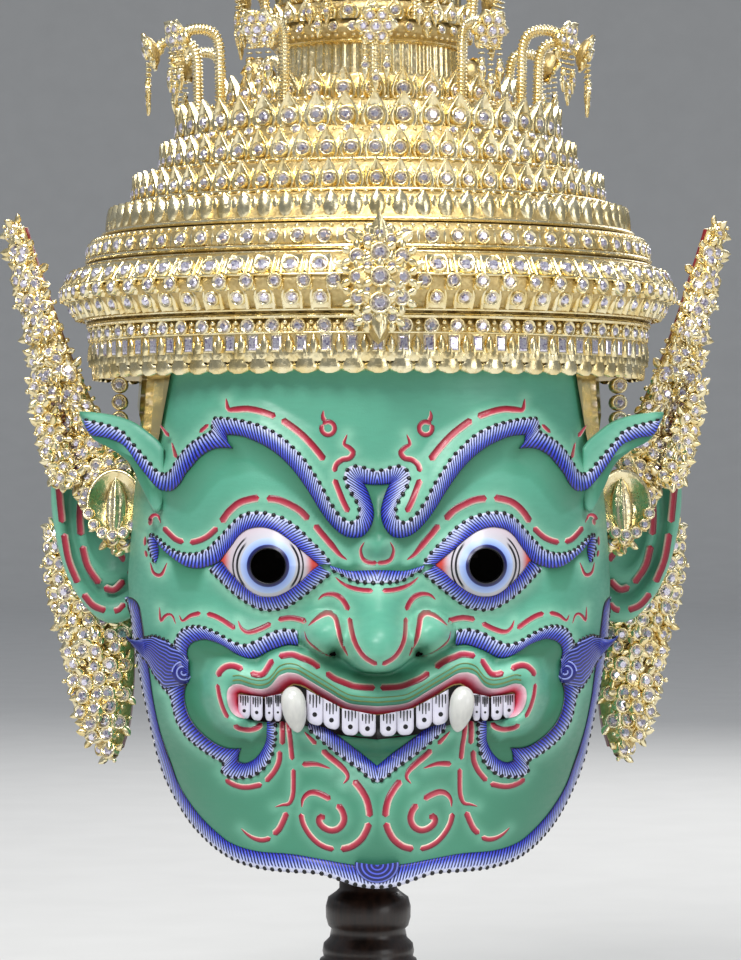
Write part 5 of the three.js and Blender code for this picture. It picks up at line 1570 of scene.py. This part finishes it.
class MASK_OT_flowers(bpy.types.Operator):
    """Trembling flowers on springs, with chain drops"""
    bl_idname = "mask.flowers"
    bl_label = "Trembling flowers"

    # Distance from the crown's middle and height along each spring
    LOWER_SPRING = [(76, 432.1), (76.4, 447), (76.8, 458), (79.4, 463.8), (85, 465.6), (92, 464.6),
                    (97.5, 460.8)]
    UPPER_SPRING = [(49.6, 470.1), (50, 480), (51.4, 487), (55.4, 490), (61, 488.1)]
    WIRE_STEP = 0.4
    LINK_PITCH = 2.3

    def execute(self, context):
        paints = gold_paints()
        lower = self.flower(self.LOWER_SPRING, 1.0)
        upper = self.flower(self.UPPER_SPRING, 0.85)
        for name, form, count, turn in (("lower_flower", lower, 12, 0.0), ("upper_flower", upper, 8, 0.5)):
            points = np.concatenate(form.points)
            for i in range(count):
                angle = (i + turn) / count * 2 * math.pi
                cos, sin = math.cos(angle), math.sin(angle)
                build = Build()
                build.add(points @ np.array([[cos, sin, 0], [-sin, cos, 0], [0, 0, 1]]), form.faces)
                build.looks, build.smooth = form.looks, form.smooth
                node = f"{name}_{i + 1:02d}"
                build.make(node + "_bloom", paints, [node])
        return {"FINISHED"}

    def flower(self, path, size):
        """One flower towards the front: spring, bloom and drops."""
        build = Build()
        line = curve_through([(0, -out, z) for out, z in path])
        count = int(lengths_along(line)[-1] / self.WIRE_STEP)
        line = spaced(line, count)
        side, rise, front = FACING
        other = np.cross(directions(line), side)
        turns = circle(8)
        radius = (2.25 + 0.45 * np.cos(np.arange(count) * math.pi / 2)) * size
        rings = line[:, None] + radius[:, None, None] * (side * np.cos(turns)[:, None] +
                                                       other[:, None] * np.sin(turns)[None, :, None])
        build.add(rings, strip_faces(count, 8, True))
        end = line[-1]
        out = np.array([0, -0.94, -0.34])
        up = np.cross(out, side)
        up = up if up[2] > 0 else -up
        across = np.cross(up, out)
        disc = round_form([(2.0, -4.0), (5.4, -2.4), (7.4, -0.6), (6.6, 0.6), (3.0, 1.2), (0.6, 1.2)], 18, 2)
        copies(build, disc, end, across, up, out, size)
        for k in range(6):
            a = k / 6 * 2 * math.pi
            away = across * math.cos(a) + up * math.sin(a)
            beside = np.cross(away, out)
            foot = end + (away * 4.0 + out * 0.2) * size
            copies(build, petal(6.4, 5.6, 1.5, EGG, FULL, 0.6), foot, beside, away, out, size)
            set_stone(build, end + (away * 5.2 + out * 1.3) * size, across, up, out, 2.0 * size)
            mid = a + math.pi / 6
            copies(build, BEAD,
                   end + ((across * math.cos(mid) + up * math.sin(mid)) * 7.0 + out * 0.6) * size,
                   across, up, out, 1.2 * size)
        set_stone(build, end + out * 2.6 * size, across, up, out, 2.3 * size, 0.1 * size)
        copies(build, BEAD, end - out * 3.0 * size, across, up, -out, 3.2 * size)
        down = -rise
        leaf = petal(3.8, 6.4, 1.1, POINTED, FULL).upside_down()
        for x, drop in ((-4.6, 10.0), (0.0, 15.5), (4.6, 10.0)):
            start = end + np.array([x, -1.0, -4.6]) * size
            for k in range(int(drop / self.LINK_PITCH)):
                at = start + down * (k * self.LINK_PITCH + 1.2)
                ways = (side, down, -front) if k % 2 else (front, down, side)
                copies(build, LINK, at, *ways, 1.15)
            tip = start + down * drop
            copies(build, BEAD, tip, side, rise, front, 1.6)
            set_stone(build, tip + down * 2.6 + front * 0.6, side, rise, front, 1.35)
            copies(build, BEZEL, tip + down * 2.6 - front * 0.2, -side, rise, -front, 1.35)
            copies(build, leaf, tip + down * 2.2, side, rise, front)
            copies(build, leaf, tip + down * 2.2, -side, rise, -front)
        return build


FLARE_INNER = [(106, -12, 241), (103, -9, 251), (103, -6, 264), (108, -3, 281), (119, 1, 296),
               (130.5, 6, 318),
               (140, 11, 341), (147, 15, 361), (155, 18, 383)]
FLARE_OUTER = [(114, -8, 241), (121, -3, 251), (127, 1, 259), (136, 6, 277), (144, 11, 295), (148.5, 15, 313),
               (153, 19, 339), (158, 22, 363), (160, 24, 384)]
PRONG_INNER = [(131, -4, 272), (136, -2, 287), (145.4, 0, 309)]
PRONG_OUTER = [(139, -2, 268), (145, 0, 284), (149, 1, 310)]
PENDANT_INNER = [(112, 28, 147), (108, 28, 159), (106, 28, 179), (106, 28, 199), (107, 29, 224),
                 (112, 30, 245)]
PENDANT_OUTER = [(121, 33, 146), (129, 36, 159), (134, 38, 178), (139, 40, 201), (145, 41, 224),
                 (145, 42, 245)]


class MASK_OT_ear_ornaments(bpy.types.Operator):
    """Upswept flares before the ears and pendants behind them, crusted with stones and beads"""
    bl_idname = "mask.ear_ornaments"
    bl_label = "Ear ornaments"

    def execute(self, context):
        paints = gold_paints()
        flare = Build()
        self.blade(flare, FLARE_INNER, FLARE_OUTER, 3.4, 5.6, 1.0)
        self.blade(flare, PRONG_INNER, PRONG_OUTER, 2.4, 5.0, 0.8)
        self.cup(flare)
        flare.make_pair("ear_flare_{}_jewels", paints, "ear_flare_{}")
        pendant = Build()
        self.blade(pendant, PENDANT_INNER, PENDANT_OUTER, 6.0, 7.4, 1.1)
        pendant.make_pair("ear_pendant_{}_jewels", paints, "ear_pendant_{}")
        for node in ("temple_strip_left", "temple_strip_right"):
            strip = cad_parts[node]
            strip.data.materials.clear()
            strip.data.materials.append(paints[4].material)
        return {"FINISHED"}

    def blade(self, build, inner, outer, half, pitch, size):
        """A swelling blade between two edges, its front crusted and its back lacquered red."""
        rows, sides = 46, 12
        inner = spaced(curve_through(inner), rows)
        outer = spaced(curve_through(outer), rows)
        across = outer - inner
        width = np.linalg.norm(across, axis=1)
        across /= width[:, None]
        along = directions((inner + outer) / 2)
        out = unit(np.cross(across, along))
        out[out[:, 1] > 0] *= -1
        shares = np.array([0, 0.03, 0.2, 0.5, 0.8, 0.97, 1, 0.97, 0.8, 0.5, 0.2, 0.03])
        lifts = np.array([0, 0.5, 0.95, 1.15, 0.95, 0.5, 0, -0.6, -0.9, -1, -0.9, -0.6]) * half
        spans = (across * width[:, None])[:, None] * shares[:, None]
        rings = inner[:, None] + spans + out[:, None] * lifts[:, None]
        faces = strip_faces(rows, sides, True)
        looks = [2 if i % sides < sides / 2 else 3 for i in range(len(faces))]
        before = len(build.looks)
        build.add(rings, faces + [tuple(range(sides))[::-1],
                                  tuple(range(rows * sides - sides, rows * sides))])
        build.looks[before:] = looks + [2, 2]
        rng = np.random.default_rng(11)
        length = lengths_along((inner + outer) / 2)
        steps = int(length[-1] / (pitch * 0.86))
        leaves = [petal(4.6, 5.6, 1.5, EGG, RIBBED, 1.0), petal(4.2, 5.2, 1.4, EGG, RIMMED, 0.9)]
        for k in range(steps + 1):
            i = min(int(round(k / steps * (rows - 1))), rows - 1)
            here_across, here_along, here_out = across[i], along[i], out[i]
            edges = ((1.0, 1, leaves[0]), (0.0, -1, leaves[1]))
            rim = here_across * 0.5 + here_out * 0.86
            beside = np.cross(here_along, rim)
            at = outer[i] + here_out * 1.6
            set_stone(build, at, beside, here_along, rim, 2.3)
            for share, way, leaf in edges if k < steps - 1 and k % 2 else ():
                foot = inner[i] + here_across * width[i] * (share - way * 0.3)
                lean = 0.55 * way
                up = here_along * math.cos(lean) + here_across * math.sin(lean)
                beside = np.cross(up, here_out)
                copies(build, leaf, foot, beside, up, here_out, size * rng.uniform(0.8, 1.0))
            number = max(1, int(round(width[i] / pitch)))
            for n in range(number):
                share = (n + 0.5 + (0.25 if k % 2 else -0.25)) / number + rng.uniform(-0.06, 0.06)
                share = min(max(share, 0.1), 0.92)
                bulge = between([(0, 0.3), (0.2, 1.0), (0.5, 1.2), (0.8, 1.0), (1, 0.3)], share) * half
                tilt = rng.normal(0, 0.22, 2)
                normal = here_out + here_across * (tilt[0] + (share - 0.5) * 0.7) + here_along * tilt[1]
                normal = unit(normal)
                up = unit(here_along - normal * (here_along @ normal))
                beside = np.cross(up, normal)
                at = inner[i] + here_across * width[i] * share + here_out * (bulge + rng.uniform(0.8, 2.2))
                at = at + here_along * rng.uniform(-1.0, 1.0)
                self.rosette(build, at, beside, up, normal, rng.uniform(2.1, 2.75) * size, rng)

    def rosette(self, build, at, beside, up, normal, size, rng):
        """A set stone among petals and beads."""
        set_stone(build, at, beside, up, normal, size)
        start = rng.uniform(0, 6)
        for k in range(5):
            a = start + k / 5 * 2 * math.pi
            away = beside * math.cos(a) + up * math.sin(a)
            if k % 2:
                copies(build, BEAD, at + away * size * 2.0 - normal * 0.9, beside, up, normal,
                       rng.uniform(0.9, 1.35))
            else:
                copies(build, petal(3.6, 4.4, 1.2, EGG, FULL, 1.0), at + away * size * 1.1 - normal * 1.0,
                       np.cross(away, normal), away, normal, rng.uniform(0.9, 1.2))

    def cup(self, build):
        """The open leaf cup at the foot of the flare, with stones on its lower lip."""
        centre = np.array([113.0, -18.0, 258.5])
        out = unit(np.array([0.12, -0.96, 0.24]))
        across = np.array([0.98, 0.12, 0.0])
        across = unit(across - out * (across @ out))
        up = np.cross(out, across)
        dish = round_form([(8, -9), (10.5, -5), (12.4, -0.6), (12.8, 0.8), (11.8, 1.2), (10.8, 0.4),
                           (8.4, -2.6), (4.4, -4.2),
                           (0.5, -4.6)], 40)
        dish.points[:, 1] *= 1.25
        copies(build, dish, centre, across, up, out)
        for k in range(7):
            a = math.radians(-160 + k * 23.5)
            at = centre + across * math.cos(a) * 11.8 + up * math.sin(a) * 14.6 + out * 1.4
            set_stone(build, at, across, up, out, 1.9)
        leaf = petal(10, 25, 1.8, EGG, RIBBED, 1.0)
        copies(build, leaf, centre - up * 12.5 - out * 2.6, np.cross(up, out), up, out)
        peg = round_form([(3.6, 14), (3.6, 0), (0.5, 0)], 12, 2)
        for z in (311, 303.4, 296):
            at = np.array([110.6, -24.0, z])
            set_stone(build, at, *FACING, 2.5)
            copies(build, peg, at, FACING[0], FACING[1], -FACING[2])


EAR_OUTLINE = [(96, 271), (112, 277), (130, 280), (140, 277), (142.5, 264), (141, 247), (136.5, 229),
               (129.5, 215.5),
               (120.5, 206.5), (111.5, 205.5), (103, 211), (96, 223)]
EAR_CENTRE = (118.0, 244.0)
EAR_FORM = [(0.0, 15.4), (0.3, 15.2), (0.37, 13.4), (0.42, 12.6), (0.52, 12.6), (0.58, 13.8), (0.63, 15.2),
            (0.71, 15.2),
            (0.76, 12.6), (0.81, 11.0), (0.88, 10.4), (0.94, 10.8), (0.99, 12.6), (1.02, 15.5), (0.99, 19),
            (0.9, 20.2),
            (0.0, 20.2)]
EAR_DASHES = [
    ([(139.6, 271.2), (138.6, 260), (137.6, 249.6)], 11.0), ([(136.8, 245), (134.6, 233), (130.4, 222.4)],
                                                             11.0),
    ([(128.2, 217.9), (123.6, 212.6), (117.8, 210)], 11.0), ([(115, 209.9), (112, 210.6), (109.2, 213.4)],
                                                             11.2),
    ([(129.4, 258.8), (129.6, 251), (129.2, 243.9)], 12.6), ([(128.6, 239.4), (126, 230), (120.8, 222.2)],
                                                             12.6),
    ([(119, 220.6), (114.4, 219.6), (109.8, 223.8)], 12.8), ([(114.4, 239.4), (110, 233.4), (106, 226)],
                                                             13.6),
]


class MASK_OT_ears(bpy.types.Operator):
    """Ears with a rolled rim and an inner ridge, each with red dashes"""
    bl_idname = "mask.ears"
    bl_label = "Ears"

    def execute(self, context):
        edge = spaced(curve_through(EAR_OUTLINE + EAR_OUTLINE[:1]), 140)[:-1]
        centre = np.array(EAR_CENTRE)
        rings = []
        for share, depth in EAR_FORM:
            flat = centre + (edge - centre) * share
            rings.append(joined(flat[:, 0], depth, flat[:, 1]))
        faces = turned_over(strip_faces(len(rings), len(edge), True))
        shares = np.array([share for share, _ in EAR_FORM])
        # The rim is painted lighter with the mint; the groove inside it is darkened as painted shade
        light = np.broadcast_to((hill(np.abs(shares - 1.0) / 0.12) * 0.6 + 0.25)[:, None],
                                (len(rings), len(edge)))
        dark = np.broadcast_to((hill(np.abs(shares - 0.67) / 0.1) * 0.3)[:, None], (len(rings), len(edge)))
        shading = joined(light, dark).reshape(-1, 2)
        build = Build()
        build.add(np.array(rings), faces, shading=shading)
        build.make_pair("ear_{}_shell", [skin_paint()], "ear_{}")
        dashes = Build()
        for points, depth in EAR_DASHES:
            add_stroke(dashes, points, 2.9, "||", 0.7, lambda x, z, d=depth: np.full(np.shape(x), d - 0.2),
                       lit=-1)
        dashes.make("ear_strokes", [stroke_paint()])
        return {"FINISHED"}


class MASK_OT_stand(bpy.types.Operator):
    """The turned dark stand"""
    bl_idname = "mask.stand"
    bl_label = "Stand"

    def execute(self, context):
        wood = Paint("dark_wood", Roughness=0.35, Coat_Weight=0.3, Coat_Roughness=0.2)
        grain = wood.noise(3.0, 5.0, (1.0, 1.0, 0.12))
        wood.set(Base_Color=wood.mix(wood.step(grain, 0.3, 0.7), srgb(24, 15, 12), srgb(50, 31, 22)),
                 Roughness=0.3 + grain * 0.2)
        wood.bump(grain, 0.15)
        shapes = {
            "stand_foot": [(0.5, 0.3), (86, 0), (89, 0.8), (90, 3), (89.6, 7.2), (88, 8.6), (87.6, 10.4),
                           (85, 12.2),
                           (81, 13), (79.6, 14.4), (79.4, 17.6), (77, 19.2), (68, 21), (60, 24), (0.5, 24)],
            "stand_post": [(0.5, 24.3), (44, 24.3), (45.2, 25.6), (44.6, 27.6), (42.8, 29.4), (36, 31),
                           (30, 34.6),
                           (25.6, 40), (23.2, 46.5), (22.6, 51), (21.6, 54.4), (20, 55.4), (20.6, 58),
                           (20, 61.4),
                           (17.4, 64), (16.6, 68), (18, 69.4), (19, 73), (19.1, 78), (18, 82), (14.6, 84.4),
                           (13, 86),
                           (13, 341.6), (0.5, 341.7)],
            "stand_rest": [(0.5, 342.2), (17, 342.2), (36, 346.6), (49, 350.6), (52, 352.6), (51.6, 355),
                           (49, 358),
                           (40, 362), (28.6, 366), (15.6, 368), (0.5, 368)],
        }
        for node, profile in shapes.items():
            build = Build()
            build.add(*turned(profile, 96))
            build.make(node + "_turned", [wood], [node], lift=node != "stand_foot")
        return {"FINISHED"}


class MASK_OT_stage(bpy.types.Operator):
    """Pale floor, soft studio light and the camera"""
    bl_idname = "mask.stage"
    bl_label = "Stage"

    def execute(self, context):
        scene = context.scene
        look = settings("stage")
        mesh = bpy.data.meshes.new("studio_floor")
        profile = [(0.01, 0.0), (1.0, 0.0), (6.0, 0.0)]
        profile += [(6.0 + 2.0 * math.sin(a), 2.0 - 2.0 * math.cos(a)) for a in np.linspace(0.1, math.pi / 2,
                                                                                            12)]
        profile += [(8.0, 3.2)]
        points, faces = turned(profile, 96)
        mesh.from_pydata((points.reshape(-1, 3) - (0, 0, 0.0005)).tolist(), [], faces)
        mesh.polygons.foreach_set("use_smooth", [True] * len(mesh.polygons))
        floor = bpy.data.objects.new("studio_floor", mesh)
        scene.collection.objects.link(floor)
        paint = Paint("floor_paper", Roughness=0.9, Specular_IOR_Level=0.1)
        paint.mottle(srgb(222, 221, 218), srgb(214, 213, 210), 60.0, 2.0)
        mesh.materials.append(paint.material)
        world = bpy.data.worlds.new("studio")
        scene.world = world
        world.use_nodes = True
        sky = world.node_tree.nodes["Background"].inputs
        sky["Color"].default_value = (*srgb(206, 212, 222), 1)
        sky["Strength"].default_value = 0.5
        lamps = [("key", (-0.8, -1.9, 2.1), (0, 0, 0.3), 1.1, 52), ("fill", (1.8, -1.9, 0.7), (0, 0, 0.3),
                                                                    1.2, 10),
                 ("top", (0.2, -0.7, 2.3), (0, 0, 0.35), 0.8, 24), ("back", (0.6, 1.6, 1.3), (0, 0, 0.4), 1.0,
                                                                    14)]
        for name, place, target, size, power in lamps:
            data = bpy.data.lights.new(name, "AREA")
            data.size = size
            data.energy = power
            lamp = bpy.data.objects.new(name, data)
            lamp.location = place
            aim = Vector(target) - Vector(place)
            lamp.rotation_euler = aim.to_track_quat("-Z", "Y").to_euler()
            scene.collection.objects.link(lamp)
        lens = bpy.data.cameras.new("camera")
        lens.lens = look.lens
        lens.sensor_width = 36.0
        lens.clip_start = 0.05
        camera = bpy.data.objects.new("camera", lens)
        ahead = (-math.sin(look.turn), math.cos(look.turn))
        right = (math.cos(look.turn), math.sin(look.turn))
        camera.location = (-look.distance * ahead[0] + look.side * right[0],
                           -look.distance * ahead[1] + look.side * right[1], look.height)
        camera.rotation_euler = (math.pi / 2, 0, look.turn)
        scene.collection.objects.link(camera)
        scene.camera = camera
        scene.view_settings.view_transform = "Standard"
        return {"FINISHED"}


class MASK_PT_panel(bpy.types.Panel):
    """Lists the pieces in the sidebar"""
    bl_label = "Khon Mask"
    bl_idname = "MASK_PT_panel"
    bl_space_type = "VIEW_3D"
    bl_region_type = "UI"
    bl_category = "Khon Mask"

    def draw(self, context):
        for group in GROUPS:
            box = self.layout.box()
            box.label(text=group.replace("_", " ").title())
            for key in settings(group).__annotations__:
                box.prop(settings(group), key)
        for operator in PIECES:
            self.layout.operator(operator.bl_idname)


GROUPS = {"face": MASK_PG_face, "bands": MASK_PG_bands, "stage": MASK_PG_stage}
PIECES = [MASK_OT_head, MASK_OT_eyes, MASK_OT_bands, MASK_OT_strokes, MASK_OT_mouth, MASK_OT_ears,
          MASK_OT_crown_band, MASK_OT_crown_tiers, MASK_OT_crown_top, MASK_OT_flowers, MASK_OT_ear_ornaments,
          MASK_OT_stand, MASK_OT_stage]


def register():
    for made in [*GROUPS.values(), *PIECES, MASK_PT_panel]:
        bpy.utils.register_class(made)
    for name, group in GROUPS.items():
        setattr(bpy.types.Scene, "mask_" + name, PointerProperty(type=group))


def unregister():
    for name in GROUPS:
        delattr(bpy.types.Scene, "mask_" + name)
    for made in reversed([*GROUPS.values(), *PIECES, MASK_PT_panel]):
        bpy.utils.unregister_class(made)


def main():
    register()
    for operator in PIECES:
        group, name = operator.bl_idname.split(".")
        getattr(getattr(bpy.ops, group), name)()


if __name__ == "__main__":
    main()
